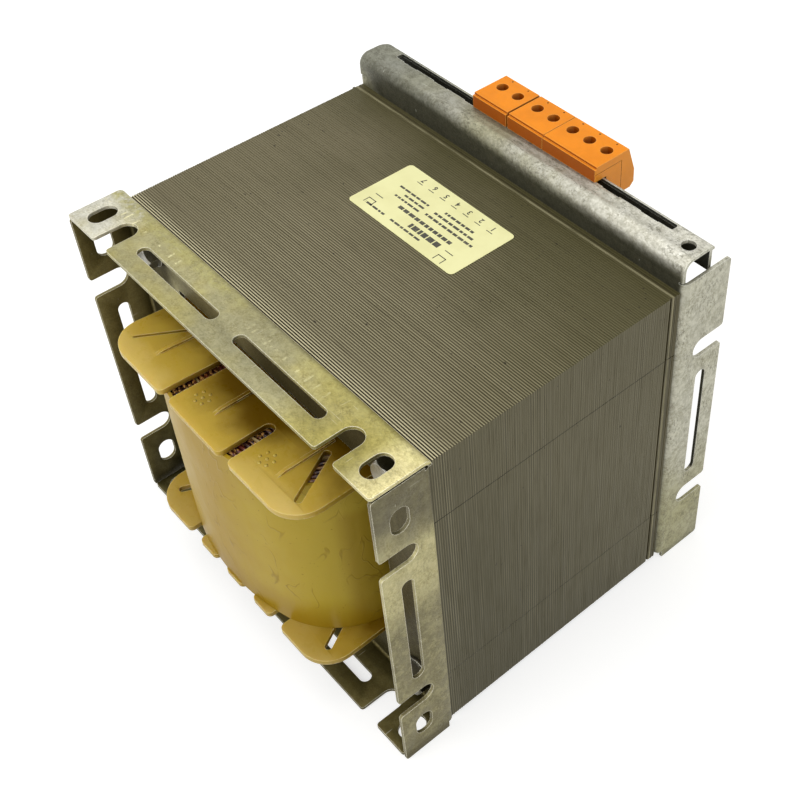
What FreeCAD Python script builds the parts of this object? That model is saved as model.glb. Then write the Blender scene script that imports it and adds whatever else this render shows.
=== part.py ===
"""Laminated chassis transformer: interleaved core, wound bobbin, two folded frames, terminal row.

The row frame has +X to the right along the wide side of the core, +Y to the rear along the
stack of laminations and +Z up.  The origin is under the middle of the core, on the surface
that the lower flanges of both frames stand on.  All sizes are millimetres.
"""
import FreeCAD, Part

import math
import os

import Sketcher
from FreeCAD import Placement, Rotation, Vector

# Driving dimensions: name, value, what it is
DRIVING = [
    ("side_leg_width", 32.0, "half the centre leg, the module of the lamination"),
    ("stack_depth", 120.0, "thickness of the stack of laminations"),
    ("packet_depth", 10.0, "usual thickness of one interleaved packet"),
    ("core_hole_radius", 5.5, "corner hole of the laminations"),
    ("frame_sheet", 1.5, "sheet of both frames"),
    ("bend_inner_radius", 1.5, "inside radius of the flange bends"),
    ("core_side_gap", 0.5, "room between the core and the side and lower flanges"),
    ("head_room", 2.5, "room between the core and the upper flange"),
    ("flange_reach", 25.5, "how far the flanges stand out from the core"),
    ("corner_gap", 0.8, "gap between two flanges at a corner"),
    ("opening_margin", 2.0, "how far the frame opening clears the windows"),
    ("slot_line_margin", 10.5, "distance of the slot row from the flange's free edge"),
    ("long_slot_width", 5.5, "width of the long flange slots"),
    ("upper_slot_bridge", 13.0, "metal between the two long slots of the upper and lower flange"),
    ("upper_slot_margin", 38.5, "metal between those slots and the flange's ends"),
    ("side_slot_margin", 49.25, "long slot of the side flanges from the core's top and floor"),
    ("notch_width", 9.5, "open notch in the flanges"),
    ("notch_run", 16.6, "round end of the notch from the flange's free edge"),
    ("upper_notch_margin", 25.0, "notches of the upper and lower flange from its ends"),
    ("side_notch_margin", 35.3, "notches of the side flanges from the core's top and floor"),
    ("foot_slot_width", 8.0, "width of the short fixing slots"),
    ("foot_slot_length", 12.5, "length of the short fixing slots"),
    ("foot_slot_margin", 9.5, "short slots of the upper and lower flange from its ends"),
    ("side_foot_margin", 15.5, "short slots of the side flanges from the core's top and floor"),
    ("free_corner_radius", 1.4, "rounding of the flanges' free corners"),
    ("channel_rise", 14.5, "top of the terminal channel above the core"),
    ("channel_depth", 16.5, "depth of the terminal channel"),
    ("channel_front_radius", 5.0, "outside radius of the channel's front bend"),
    ("channel_rear_radius", 2.0, "outside radius of the channel's rear bend"),
    ("channel_lip", 12.5, "height of the channel's rear wall"),
    ("channel_half_length", 96.7, "half the length of the channel"),
    ("window_left_margin", 12.7, "channel left of the terminal window"),
    ("window_right_margin", 16.4, "channel right of the terminal window"),
    ("window_corner", 1.0, "corner radius of the terminal window"),
    ("window_width", 3.5, "width of the terminal window"),
    ("window_step_depth", 0.4, "depth of the steps in the window's front edge"),
    ("window_step_length", 9.0, "length of each step"),
    ("window_step_pitch", 20.4, "pitch of the steps"),
    ("earth_hole_radius", 3.0, "hole for the earth screw"),
    ("earth_hole_margin", 6.2, "earth hole from the channel's right end"),
    ("earth_hole_depth", 9.0, "place of the earth hole behind the core"),
    ("bobbin_fit", 0.4, "room between the centre leg and the bobbin"),
    ("bobbin_wall", 2.0, "wall of the bobbin tube"),
    ("bobbin_flange", 2.5, "thickness of the bobbin flanges"),
    ("bobbin_top_gap", 1.0, "room between the bobbin and the upper yoke"),
    ("bobbin_seat_gap", 0.3, "room between the bobbin and the lower yoke"),
    ("bobbin_droop", 1.2, "how far the lower flange hangs down at its free edge"),
    ("bobbin_side_gap", 0.5, "room between the bobbin flange and the outer legs"),
    ("bobbin_overhang", 37.4, "how far the bobbin flanges stand out from the core"),
    ("bobbin_corner", 14.0, "corner radius of the bobbin flanges"),
    ("wire_slot_width", 5.3, "slots for the wires in the upper bobbin flange"),
    ("wire_slot_offset", 20.0, "centre of the wire slots"),
    ("long_wire_slot_floor", 5.0, "closed end of the longer wire slot from the core"),
    ("short_wire_slot_floor", 14.2, "closed end of the shorter wire slot from the core"),
    ("comb_slot_width", 7.4, "slots of the lower bobbin flange"),
    ("comb_slot_pitch", 20.0, "pitch of those slots"),
    ("comb_slot_floor", 26.0, "closed end of those slots from the core"),
    ("lobe_corner", 2.4, "rounding of the bobbin's lobes at their slots"),
    ("diagonal_slot_width", 3.2, "diagonal slots in the corners of the bobbin"),
    ("diagonal_inner_x", 44.5, "inner end of the diagonal slots"),
    ("diagonal_inner_depth", 8.0, "inner end of the diagonal slots from the core"),
    ("diagonal_outer_x", 55.0, "outer end of the diagonal slots"),
    ("diagonal_outer_depth", 28.0, "outer end of the diagonal slots from the core"),
    ("rib_height", 0.9, "stiffening ribs on the bobbin flanges"),
    ("rib_width", 1.6, "width of a rib"),
    ("rib_offset", 41.0, "outer ribs from the middle"),
    ("rib_end_depth", 28.0, "free end of a rib from the core"),
    ("rib_slope", 3.6, "length of the sloping end of a rib"),
    ("coil_side_gap", 3.5, "room between the coil and the outer legs"),
    ("coil_reach", 36.8, "how far the coil bulges out of the core"),
    ("coil_corner", 40.0, "corner radius of the coil"),
    ("coil_bulge", 2.8, "rise of the coil's face over its corners"),
    ("layer_gap", 0.1, "room between two layers of the coil"),
    ("wrap_thickness", 1.4, "outer wrap of the coil"),
    ("secondary_build", 10.9, "thickness of the outer winding"),
    ("insulation_thickness", 0.8, "insulation between the windings"),
    ("bolt_radius", 4.0, "tie bolts"),
    ("bolt_head_flats", 13.0, "width across flats of bolt heads and nuts"),
    ("bolt_head_height", 5.3, "height of a bolt head"),
    ("nut_height", 6.8, "height of a nut"),
    ("bolt_tail", 3.2, "thread that stands out of the nut"),
    ("bolt_chamfer", 0.8, "chamfer of heads, nuts and bolt ends"),
    ("washer_radius", 8.0, "outer radius of the washers"),
    ("washer_thickness", 1.6, "thickness of the washers"),
    ("hole_clearance", 0.3, "radial room of bolts in what they pass through"),
    ("sleeve_wall", 0.9, "wall of the insulating sleeves"),
    ("pole_pitch", 9.5, "pitch of the terminal poles"),
    ("block_end_wall", 0.65, "extra wall at each end of a terminal block"),
    ("left_block_x", -21.2, "centre of the left terminal block"),
    ("middle_block_x", 0.15, "centre of the middle terminal block"),
    ("right_block_x", 25.5, "centre of the right terminal block"),
    ("block_rise", 6.7, "height of the terminal blocks above the channel"),
    ("block_front", 10.3, "front of the terminal blocks behind the core"),
    ("block_ledge", 1.0, "ledge along the front of the blocks"),
    ("block_crown_rear", 29.0, "rear edge of the flat top behind the core"),
    ("block_rear", 32.5, "rear of the terminal blocks behind the core"),
    ("block_slope", 11.2, "height of the sloping rear face"),
    ("block_drop", 12.5, "how far the blocks hang behind the channel"),
    ("block_heel", 2.0, "chamfer at the lower rear edge"),
    ("foot_fit", 0.25, "room of the snap feet in the window"),
    ("foot_drop", 7.0, "length of the snap feet under the channel"),
    ("barb_reach", 1.3, "barb of a snap foot under the sheet"),
    ("barb_height", 3.0, "height of a barb"),
    ("well_radius", 2.25, "screw wells"),
    ("well_depth", 21.6, "line of the screw wells behind the core"),
    ("cavity_width", 6.6, "clamp cavity of a pole"),
    ("cavity_front", 17.9, "front of the clamp cavity behind the core"),
    ("cavity_rear", 26.9, "rear of the clamp cavity behind the core"),
    ("cavity_floor", 3.6, "floor of the cavity above the bottom of the block"),
    ("cavity_height", 9.4, "height of the clamp cavity"),
    ("entry_width", 5.4, "wire entry in the rear face"),
    ("entry_height", 5.0, "height of the wire entry"),
    ("clamp_fit", 0.3, "room between a clamp and its cavity"),
    ("clamp_wall", 1.0, "wall of a clamp cage"),
    ("clamp_head", 2.4, "threaded wall of a clamp cage"),
    ("screw_radius", 1.65, "shank of a terminal screw"),
    ("screw_head_radius", 2.05, "head of a terminal screw"),
    ("screw_head_height", 1.7, "height of the screw head"),
    ("screw_head_lift", 0.4, "screw head above its clamp"),
    ("screw_slot_width", 0.6, "slot of the screw head"),
    ("screw_slot_depth", 0.8, "depth of the slot"),
    ("screw_reach", 4.2, "screw end below the clamp's threaded wall"),
    ("lead_radius", 1.3, "sleeved winding leads"),
    ("lead_line_depth", 24.6, "where the leads enter the blocks behind the core"),
    ("lead_straight", 12.5, "end runs of the leads"),
    ("lead_stagger", 0.5, "how much later each next lead turns"),
    ("label_length", 64.5, "rating label"),
    ("label_width", 33.2, "width of the label"),
    ("label_thickness", 0.2, "thickness of the label"),
    ("label_corner", 2.0, "corner radius of the label"),
    ("label_x", -1.6, "centre of the label"),
    ("label_y", 21.2, "centre of the label"),
]

BLOCK_POLES = {"left": ("1", "2"), "middle": ("3", "4"), "right": ("5", "6", "7")}
BOLTS_ALONG = (-1, 1)
BOLTS_UP = (1, 9)
SIDE_OF = {"front": -1, "rear": 1}

doc = FreeCAD.newDocument("chassis_transformer")
sheet = doc.addObject("Spreadsheet::Sheet", "sizes")
for row, (alias, number, note) in enumerate(DRIVING, start=1):
    sheet.set(f"A{row}", note)
    sheet.set(f"B{row}", str(number))
    sheet.setAlias(f"B{row}", alias)
doc.recompute()


class Size:
    """A number together with the sheet expression that gives it."""

    def __init__(self, value, text):
        self.value = float(value)
        self.text = text

    def __add__(self, other):
        other = as_size(other)
        return Size(self.value + other.value, f"({self.text} + {other.text})")

    def __sub__(self, other):
        other = as_size(other)
        return Size(self.value - other.value, f"({self.text} - {other.text})")

    def __mul__(self, other):
        other = as_size(other)
        return Size(self.value * other.value, f"({self.text} * {other.text})")

    def __truediv__(self, other):
        other = as_size(other)
        return Size(self.value / other.value, f"({self.text} / {other.text})")

    def __neg__(self):
        return self * -1

    __radd__ = __add__
    __rmul__ = __mul__


def as_size(number):
    """Turn a plain number into a Size and leave a Size as it is."""
    if isinstance(number, Size):
        return number
    return Size(number, f"({number})")


def cell(alias):
    """The driving dimension with this name."""
    return Size(sheet.get(alias), f"sizes.{alias}")


def bind(item, prop, size):
    """Tie a property of an object to the sheet."""
    size = as_size(size)
    item.setExpression(prop, size.text)


def span(side, near, far):
    """Low and high Y of a stretch given by its distances from the core's face on one side."""
    near_y = side * (half_stack + near)
    far_y = side * (half_stack + far)
    return (far_y, near_y) if side < 0 else (near_y, far_y)


def box(name, along_x, along_y, along_z):
    """A box between a low and a high value on each axis."""
    item = doc.addObject("Part::Box", name)
    for prop, axis, (low, high) in zip(("Length", "Width", "Height"), "xyz", (along_x, along_y, along_z)):
        low = as_size(low)
        high = as_size(high)
        bind(item, prop, high - low)
        bind(item, f"Placement.Base.{axis}", low)
    return item


TURNS = {
    "x": Rotation(Vector(0, 1, 0), 90),
    "y": Rotation(Vector(1, 0, 0), -90),
    "z": Rotation(),
}


def cylinder(name, axis, radius, centre, low, high):
    """A cylinder along an axis, with its centre on the other two axes in X, Y, Z order."""
    item = doc.addObject("Part::Cylinder", name)
    item.Placement = Placement(Vector(), TURNS[axis])
    bind(item, "Radius", radius)
    bind(item, "Height", as_size(high) - low)
    bind(item, f"Placement.Base.{axis}", low)
    for other, value in zip([letter for letter in "xyz" if letter != axis], centre):
        bind(item, f"Placement.Base.{other}", value)
    return item


def fuse(name, items):
    """One solid from several."""
    item = doc.addObject("Part::MultiFuse", name)
    item.Shapes = items
    item.Refine = True
    return item


def cut(name, base, tools):
    """The base without its tools."""
    tool = tools[0] if len(tools) == 1 else fuse(f"{name}_tools", tools)
    item = doc.addObject("Part::Cut", name)
    item.Base = base
    item.Tool = tool
    item.Refine = True
    return item


def rounded(name, base, radius, wanted):
    """Round the edges of the base that a test picks."""
    doc.recompute()
    chosen = [number for number, edge in enumerate(base.Shape.Edges, start=1) if wanted(edge)]
    item = doc.addObject("Part::Fillet", name)
    item.Base = base
    item.Edges = [(number, radius.value, radius.value) for number in chosen]
    return item


def upright(edge):
    """Whether a straight edge runs along Z."""
    ends = [vertex.Point for vertex in edge.Vertexes]
    if len(ends) != 2 or edge.Curve.TypeId != "Part::GeomLine":
        return False
    run = ends[1] - ends[0]
    return abs(run.x) + abs(run.y) < 1e-6


def obround(name, through, run, centre, length, width, low, high):
    """A cutting tool with round ends: it goes through one axis and runs along another."""
    axes = [letter for letter in "xyz" if letter != through]
    place = dict(zip(axes, centre))
    half = (length - width) / 2
    spans = {through: (low, high)}
    for letter in axes:
        reach = half if letter == run else width / 2
        spans[letter] = (place[letter] - reach, place[letter] + reach)
    parts = [box(f"{name}_middle", spans["x"], spans["y"], spans["z"])]
    for tag, sign in (("low", -1), ("high", 1)):
        ends = [place[letter] + sign * half if letter == run else place[letter] for letter in axes]
        parts.append(cylinder(f"{name}_{tag}", through, width / 2, ends, low, high))
    return fuse(name, parts)


def shaped(name, shape):
    """A sub-part whose shape is worked out from the sheet's values."""
    item = doc.addObject("Part::Feature", name)
    item.Shape = shape
    return item


def copies(name, source, offsets):
    """Like pieces that stay separate solids, each a copy of one source."""
    doc.recompute()
    solids = []
    for offset in offsets:
        solid = source.Shape.copy()
        solid.translate(Vector(*[as_size(value).value for value in offset]))
        solids.append(solid)
    return shaped(name, Part.makeCompound(solids))


def origin_plane(body, role):
    """One of a body's own origin planes."""
    return next(plane for plane in body.Origin.OriginFeatures if plane.Role == role)


def outline_sketch(body, role, name, corners):
    """A closed sketch of straight lines whose corners are all tied to the sheet."""
    sketch = body.newObject("Sketcher::SketchObject", name)
    sketch.AttachmentSupport = (origin_plane(body, role), "")
    sketch.MapMode = "FlatFace"
    points = [(as_size(across), as_size(up)) for across, up in corners]
    count = len(points)
    for index, (across, up) in enumerate(points):
        next_across, next_up = points[(index + 1) % count]
        start = Vector(across.value, up.value, 0)
        end = Vector(next_across.value, next_up.value, 0)
        sketch.addGeometry(Part.LineSegment(start, end), False)
    for index in range(count):
        joint = Sketcher.Constraint("Coincident", index, 2, (index + 1) % count, 1)
        sketch.addConstraint(joint)
    for index, place in enumerate(points):
        for kind, size in zip(("DistanceX", "DistanceY"), place):
            number = sketch.addConstraint(Sketcher.Constraint(kind, -1, 1, index, 1, size.value))
            sketch.setExpression(f"Constraints[{number}]", size.text)
    return sketch


def circle_sketch(body, role, name, radii):
    """A sketch of circles about the origin, the outer one first."""
    sketch = body.newObject("Sketcher::SketchObject", name)
    sketch.AttachmentSupport = (origin_plane(body, role), "")
    sketch.MapMode = "FlatFace"
    for index, radius in enumerate(radii):
        sketch.addGeometry(Part.Circle(Vector(), Vector(0, 0, 1), radius.value), False)
        sketch.addConstraint(Sketcher.Constraint("Coincident", index, 3, -1, 1))
        number = sketch.addConstraint(Sketcher.Constraint("Radius", index, radius.value))
        sketch.setExpression(f"Constraints[{number}]", radius.text)
    return sketch


def pad(body, name, sketch, length, reverse=False):
    """Raise a sketch into a solid."""
    item = body.newObject("PartDesign::Pad", name)
    item.Profile = sketch
    item.Reversed = reverse
    item.setExpression("Length", as_size(length).text)
    body.Tip = item
    return item


def body_of(name):
    """A new sub-part body."""
    return doc.addObject("PartDesign::Body", name)


# Places that several sub-parts share
leg = cell("side_leg_width")
half_stack = cell("stack_depth") / 2
sheet_metal = cell("frame_sheet")
half_core = 3 * leg
core_floor = sheet_metal + cell("core_side_gap")
core_top = core_floor + 5 * leg
core_middle = core_floor + 2.5 * leg
frame_half = half_core + cell("core_side_gap") + sheet_metal
frame_top = core_top + cell("head_room") + sheet_metal
flange_reach = cell("flange_reach")
bend_inner = cell("bend_inner_radius")
bend_outer = bend_inner + sheet_metal
channel_top = core_top + cell("channel_rise")
bobbin_low = core_floor + leg + cell("bobbin_seat_gap")
bobbin_high = core_floor + 4 * leg - cell("bobbin_top_gap")
coil_low = bobbin_low + cell("bobbin_flange") + cell("layer_gap")
coil_high = bobbin_high - cell("bobbin_flange") - cell("layer_gap")
bolt_hole_radius = cell("bolt_radius") + cell("hole_clearance")
bolt_places = [(side * 2.5 * leg, core_floor + (row / 2) * leg) for side in BOLTS_ALONG for row in BOLTS_UP]


def lamination_packets():
    """E and I packets that change ends from one packet to the next."""
    count = int(round(cell("stack_depth").value / cell("packet_depth").value))
    depth = cell("stack_depth") / count
    holes_low = [(side * 2.5 * leg, leg / 2) for side in BOLTS_ALONG]
    e_corners = [(-3, 0), (3, 0), (3, 4), (2, 4), (2, 1), (1, 1), (1, 4), (-1, 4), (-1, 1), (-2, 1), (-2, 4), (-3, 4)]
    i_corners = [(-3, 4), (3, 4), (3, 5), (-3, 5)]
    made = []
    for name, corners, hole_shift in (("e_laminations", e_corners, 0), ("i_laminations", i_corners, 4)):
        body = body_of(f"{name}_packet")
        outline = [(across * leg, up * leg) for across, up in corners]
        sketch = outline_sketch(body, "XZ_Plane", f"{name}_outline", outline)
        pad(body, f"{name}_pad", sketch, depth, True)
        holes = []
        for index, (across, up) in enumerate(holes_low):
            centre = (across, up + hole_shift * leg)
            holes.append(cylinder(f"{name}_hole_{index}", "y", cell("core_hole_radius"), centre, -depth, 2 * depth))
        packet = cut(f"{name}_drilled", body, holes)
        doc.recompute()
        solids = []
        for index in range(count):
            solid = packet.Shape.copy()
            if index % 2:
                solid.rotate(Vector(0, 0, (2.5 * leg).value), Vector(0, 1, 0), 180)
            solid.translate(Vector(0, index * depth.value - half_stack.value, core_floor.value))
            solids.append(solid)
        made.append(shaped(name, Part.makeCompound(solids)))
    return made


def quarter_bend(name, axis, centre, outer, inner, low, high, corner):
    """A quarter of a bent sheet about an axis, in the quarter that corner points to."""
    ring = cut(f"{name}_ring", cylinder(f"{name}_outer", axis, outer, centre, low, high),
               [cylinder(f"{name}_inner", axis, inner, centre, low, high)])
    letters = [letter for letter in "xyz" if letter != axis]
    spans = {axis: (low, high)}
    for letter, value, sign in zip(letters, centre, corner):
        spans[letter] = (value, value + outer) if sign > 0 else (value - outer, value)
    keep = box(f"{name}_quarter", spans["x"], spans["y"], spans["z"])
    bend = doc.addObject("Part::Common", name)
    bend.Base = ring
    bend.Tool = keep
    return bend


def flange_cuts(name, side, face, has_end_slots):
    """Tools for the slots and notches of one flange: lower, upper, left or right."""
    slot_y = side * (half_stack + flange_reach - cell("slot_line_margin"))
    margin = 2 * sheet_metal
    notch_far = flange_reach + cell("notch_width")
    notch_floor = flange_reach - cell("notch_run")
    notch_length = notch_far - notch_floor
    notch_y = side * (half_stack + (notch_far + notch_floor) / 2)
    flat = face in ("lower", "upper")
    if flat:
        low, high = (-margin, margin) if face == "lower" else (frame_top - margin, frame_top + margin)
        through, middle = "z", as_size(0)
        inner_end = cell("upper_slot_bridge") / 2
        outer_end = frame_half - cell("upper_slot_margin")
        long_slots = [(inner_end + outer_end) / 2, -(inner_end + outer_end) / 2]
        long_length = outer_end - inner_end
        notch, end = frame_half - cell("upper_notch_margin"), frame_half - cell("foot_slot_margin")
    else:
        low, high = (-frame_half - margin, margin - frame_half) if face == "left" else (
            frame_half - margin, frame_half + margin)
        through, middle = "x", core_middle
        half_height = core_middle - core_floor
        long_slots = [as_size(0)]
        long_length = 2 * (half_height - cell("side_slot_margin"))
        notch, end = half_height - cell("side_notch_margin"), half_height - cell("side_foot_margin")

    def centre(along, y):
        return (middle + along, y) if flat else (y, middle + along)

    run = "x" if flat else "z"
    tools = []
    for index, along in enumerate(long_slots):
        tools.append(obround(f"{name}_slot_{index}", through, run, centre(along, slot_y),
                             long_length, cell("long_slot_width"), low, high))
    for index, sign in enumerate((-1, 1)):
        tools.append(obround(f"{name}_notch_{index}", through, "y", centre(sign * notch, notch_y),
                             notch_length, cell("notch_width"), low, high))
        if has_end_slots:
            tools.append(obround(f"{name}_end_slot_{index}", through, "y" if flat else "z",
                                 centre(sign * end, slot_y), cell("foot_slot_length"),
                                 cell("foot_slot_width"), low, high))
    return tools


def frame_plate(name, side):
    """The flat ring of a frame that presses on the laminations."""
    inner_x = frame_half - bend_outer
    sharp = box(f"{name}_ring", (-inner_x, inner_x), span(side, 0, sheet_metal), (bend_outer, frame_top - bend_outer))
    return cut(f"{name}_plate", sharp, plate_cuts(name, side))


def flange(name, side, face, sheet_part, bend, has_end_slots):
    """One flange with its bend, its slots and notches, and its rounded free corners."""
    whole = cut(f"{name}_{face}_slotted", fuse(f"{name}_{face}_blank", [sheet_part, bend]),
                flange_cuts(f"{name}_{face}", side, face, has_end_slots))
    return rounded(f"{name}_{face}_flange", whole, cell("free_corner_radius"), free_corner(side))


def plain_flanges(name, side, top, bend_top, has_end_slots):
    """The left, right and lower flange of a frame."""
    reach = span(side, bend_outer, flange_reach)
    bend_y = side * (half_stack + bend_outer)
    gap = cell("corner_gap")
    inner_x = frame_half - bend_outer
    made = []
    for face, sign in (("left", -1), ("right", 1)):
        low_x, high_x = (frame_half - sheet_metal, frame_half)
        along_x = (low_x, high_x) if sign > 0 else (-high_x, -low_x)
        sheet_part = box(f"{name}_{face}_sheet", along_x, reach, (0, top))
        bend = quarter_bend(f"{name}_{face}_bend", "z", (sign * inner_x, bend_y), bend_outer, bend_inner,
                            bend_outer + gap, bend_top, (sign, -side))
        made.append(flange(name, side, face, sheet_part, bend, has_end_slots))
    lower_half = frame_half - sheet_metal - gap
    sheet_part = box(f"{name}_lower_sheet", (-lower_half, lower_half), reach, (0, sheet_metal))
    bend = quarter_bend(f"{name}_lower_bend", "x", (bend_y, bend_outer), bend_outer, bend_inner,
                        gap - inner_x, inner_x - gap, (-side, -1))
    made.append(flange(name, side, "lower", sheet_part, bend, True))
    return made


def plate_cuts(name, side):
    """Tools for the opening round the coil and for the four bolt holes of a plate."""
    margin = cell("opening_margin")
    depth = span(side, -sheet_metal, 3 * sheet_metal)
    half = 2 * leg + margin
    tools = [box(f"{name}_opening", (-half, half), depth, (core_floor + leg - margin, core_floor + 4 * leg + margin))]
    for index, place in enumerate(bolt_places):
        tools.append(cylinder(f"{name}_bolt_hole_{index}", "y", bolt_hole_radius, place, *depth))
    return tools


def free_corner(side):
    """A test for the short edges at the free corners of the flanges."""
    edge_y = side * (half_stack + flange_reach).value

    def wanted(edge):
        ends = [vertex.Point for vertex in edge.Vertexes]
        if len(ends) != 2 or abs(edge.Length - sheet_metal.value) > 1e-3:
            return False
        return all(abs(point.y - edge_y) < 1e-3 for point in ends)

    return wanted


def front_frame():
    """The folded sheet round the front: a ring plate and four slotted flanges."""
    side = SIDE_OF["front"]
    gap = cell("corner_gap")
    nodes = [frame_plate("front", side)]
    nodes += plain_flanges("front", side, frame_top - sheet_metal - gap, frame_top - bend_outer - gap, True)
    bend_y = side * (half_stack + bend_outer)
    sheet_part = box("front_upper_sheet", (-frame_half, frame_half), span(side, bend_outer, flange_reach),
                     (frame_top - sheet_metal, frame_top))
    bend = quarter_bend("front_upper_bend", "x", (bend_y, frame_top - bend_outer), bend_outer, bend_inner,
                        -frame_half, frame_half, (-side, 1))
    nodes.append(flange("front", side, "upper", sheet_part, bend, True))
    return nodes


def window_tools():
    """The terminal window in the channel's top, with the steps in its front edge."""
    rear = cell("channel_depth") - cell("channel_rear_radius")
    front = rear - cell("window_width")
    through = (channel_top - 2 * sheet_metal, channel_top + sheet_metal)
    left = cell("window_left_margin") - cell("channel_half_length")
    right = cell("channel_half_length") - cell("window_right_margin")
    whole = box("window_sharp", (left, right), span(1, front, rear), through)
    tools = [rounded("window", whole, cell("window_corner"), upright)]
    pitch = cell("window_step_pitch")
    count = int((right - left).value / pitch.value)
    for index in range(count):
        middle = left + (index + 0.5) * pitch
        half = cell("window_step_length") / 2
        tools.append(box(f"window_step_{index}", (middle - half, middle + half),
                         span(1, front - cell("window_step_depth"), rear), through))
    return tools


def rear_frame():
    """The folded sheet round the rear, whose upper side is folded over as the terminal channel."""
    side = SIDE_OF["rear"]
    gap = cell("corner_gap")
    nodes = [frame_plate("rear", side)]
    nodes += plain_flanges("rear", side, frame_top, frame_top, False)
    parts = []
    front_radius = cell("channel_front_radius")
    rear_radius = cell("channel_rear_radius")
    depth = cell("channel_depth")
    half = cell("channel_half_length")
    foot_half = frame_half - bend_outer
    along = (-half, half)
    parts.append(box("channel_foot", (-foot_half, foot_half), span(side, 0, sheet_metal),
                     (frame_top - bend_outer, frame_top + gap)))
    parts.append(box("channel_front_wall", along, span(side, 0, sheet_metal),
                     (frame_top + gap, channel_top - front_radius)))
    parts.append(quarter_bend("channel_front_bend", "x",
                              (half_stack + front_radius, channel_top - front_radius), front_radius,
                              front_radius - sheet_metal, *along, (-1, 1)))
    parts.append(box("channel_roof", along, span(side, front_radius, depth - rear_radius),
                     (channel_top - sheet_metal, channel_top)))
    parts.append(quarter_bend("channel_rear_bend", "x",
                              (half_stack + depth - rear_radius, channel_top - rear_radius), rear_radius,
                              rear_radius - sheet_metal, *along, (1, 1)))
    lip_half = frame_half - sheet_metal - gap
    parts.append(box("channel_rear_wall", (-lip_half, lip_half), span(side, depth - sheet_metal, depth),
                     (channel_top - cell("channel_lip"), channel_top - rear_radius)))
    tools = window_tools()
    hole = (half - cell("earth_hole_margin"), half_stack + cell("earth_hole_depth"))
    tools.append(cylinder("earth_hole", "z", cell("earth_hole_radius"), hole,
                          channel_top - 2 * sheet_metal, channel_top + sheet_metal))
    nodes.append(cut("terminal_channel", fuse("channel_blank", parts), tools))
    return nodes


def diagonal_slot(name, across, side, low, high):
    """The slanting slot in one corner of a bobbin flange."""
    inner = (cell("diagonal_inner_x"), cell("diagonal_inner_depth"))
    outer = (cell("diagonal_outer_x"), cell("diagonal_outer_depth"))
    run_x = across * (outer[0] - inner[0])
    run_y = side * (outer[1] - inner[1])
    length = math.hypot(run_x.value, run_y.value)
    start = Vector((across * inner[0]).value, (side * (half_stack + inner[1])).value, low.value)
    width = cell("diagonal_slot_width").value
    height = (high - low).value
    tool = Part.makeBox(length, width, height, Vector(0, -width / 2, 0))
    for centre in (Vector(), Vector(length, 0, 0)):
        tool = tool.fuse(Part.makeCylinder(width / 2, height, centre))
    tool.rotate(Vector(), Vector(0, 0, 1), math.degrees(math.atan2(run_y.value, run_x.value)))
    tool.translate(start)
    return shaped(name, tool)


def bobbin_flange(name, low, droop, slots):
    """One slotted flange of the bobbin: slots gives the place, width and floor of each slot."""
    high = low + cell("bobbin_flange")
    half_x = 2 * leg - cell("bobbin_side_gap")
    half_y = half_stack + cell("bobbin_overhang")
    if droop:
        section = [(-half_y, low - droop), (-half_stack, low), (half_stack, low), (half_y, low - droop),
                   (half_y, high - droop), (half_stack, high), (-half_stack, high), (-half_y, high - droop)]
    else:
        section = [(-half_y, low), (half_y, low), (half_y, high), (-half_y, high)]
    plate = body_of(f"{name}_plate")
    sketch = outline_sketch(plate, "YZ_Plane", f"{name}_section", section)
    pad(plate, f"{name}_pad", sketch, 2 * half_x)
    bind(plate, "Placement.Base.x", -half_x)
    disc = rounded(f"{name}_disc", plate, cell("bobbin_corner"), upright)
    tools = []
    below, above = low - cell("bobbin_flange"), high + cell("bobbin_flange")
    for end, side in SIDE_OF.items():
        for index, (place, width, floor) in enumerate(slots):
            far = cell("bobbin_overhang") + width
            centre = (place, side * (half_stack + (far + floor) / 2))
            tools.append(obround(f"{name}_{end}_slot_{index}", "z", "y", centre, far - floor, width, below, above))
        for across in (-1, 1):
            tag = "left" if across < 0 else "right"
            tools.append(diagonal_slot(f"{name}_{end}_{tag}_diagonal", across, side, below, above))
    slotted = cut(f"{name}_slotted", disc, tools)

    def at_mouth(edge):
        if not upright(edge):
            return False
        point = edge.Vertexes[0].Point
        return abs(abs(point.y) - half_y.value) < 1e-3 and abs(point.x) < half_x.value - cell("bobbin_corner").value

    return rounded(name, slotted, cell("lobe_corner"), at_mouth)


def bobbin_rib(name, place, side, face, up):
    """A low rib on the outside of a bobbin flange, with a sloping free end."""
    rise = up * cell("rib_height")
    near, far = cell("opening_margin"), cell("rib_end_depth")
    profile = [(near, 0), (far, 0), (far - cell("rib_slope"), rise), (near, rise)]
    points = []
    for depth, height in profile:
        points.append(Vector((place - cell("rib_width") / 2).value, side * (half_stack + depth).value,
                             (face + height).value))
    wall = Part.Face(Part.makePolygon(points + points[:1]))
    return shaped(name, wall.extrude(Vector(cell("rib_width").value, 0, 0)))


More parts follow.
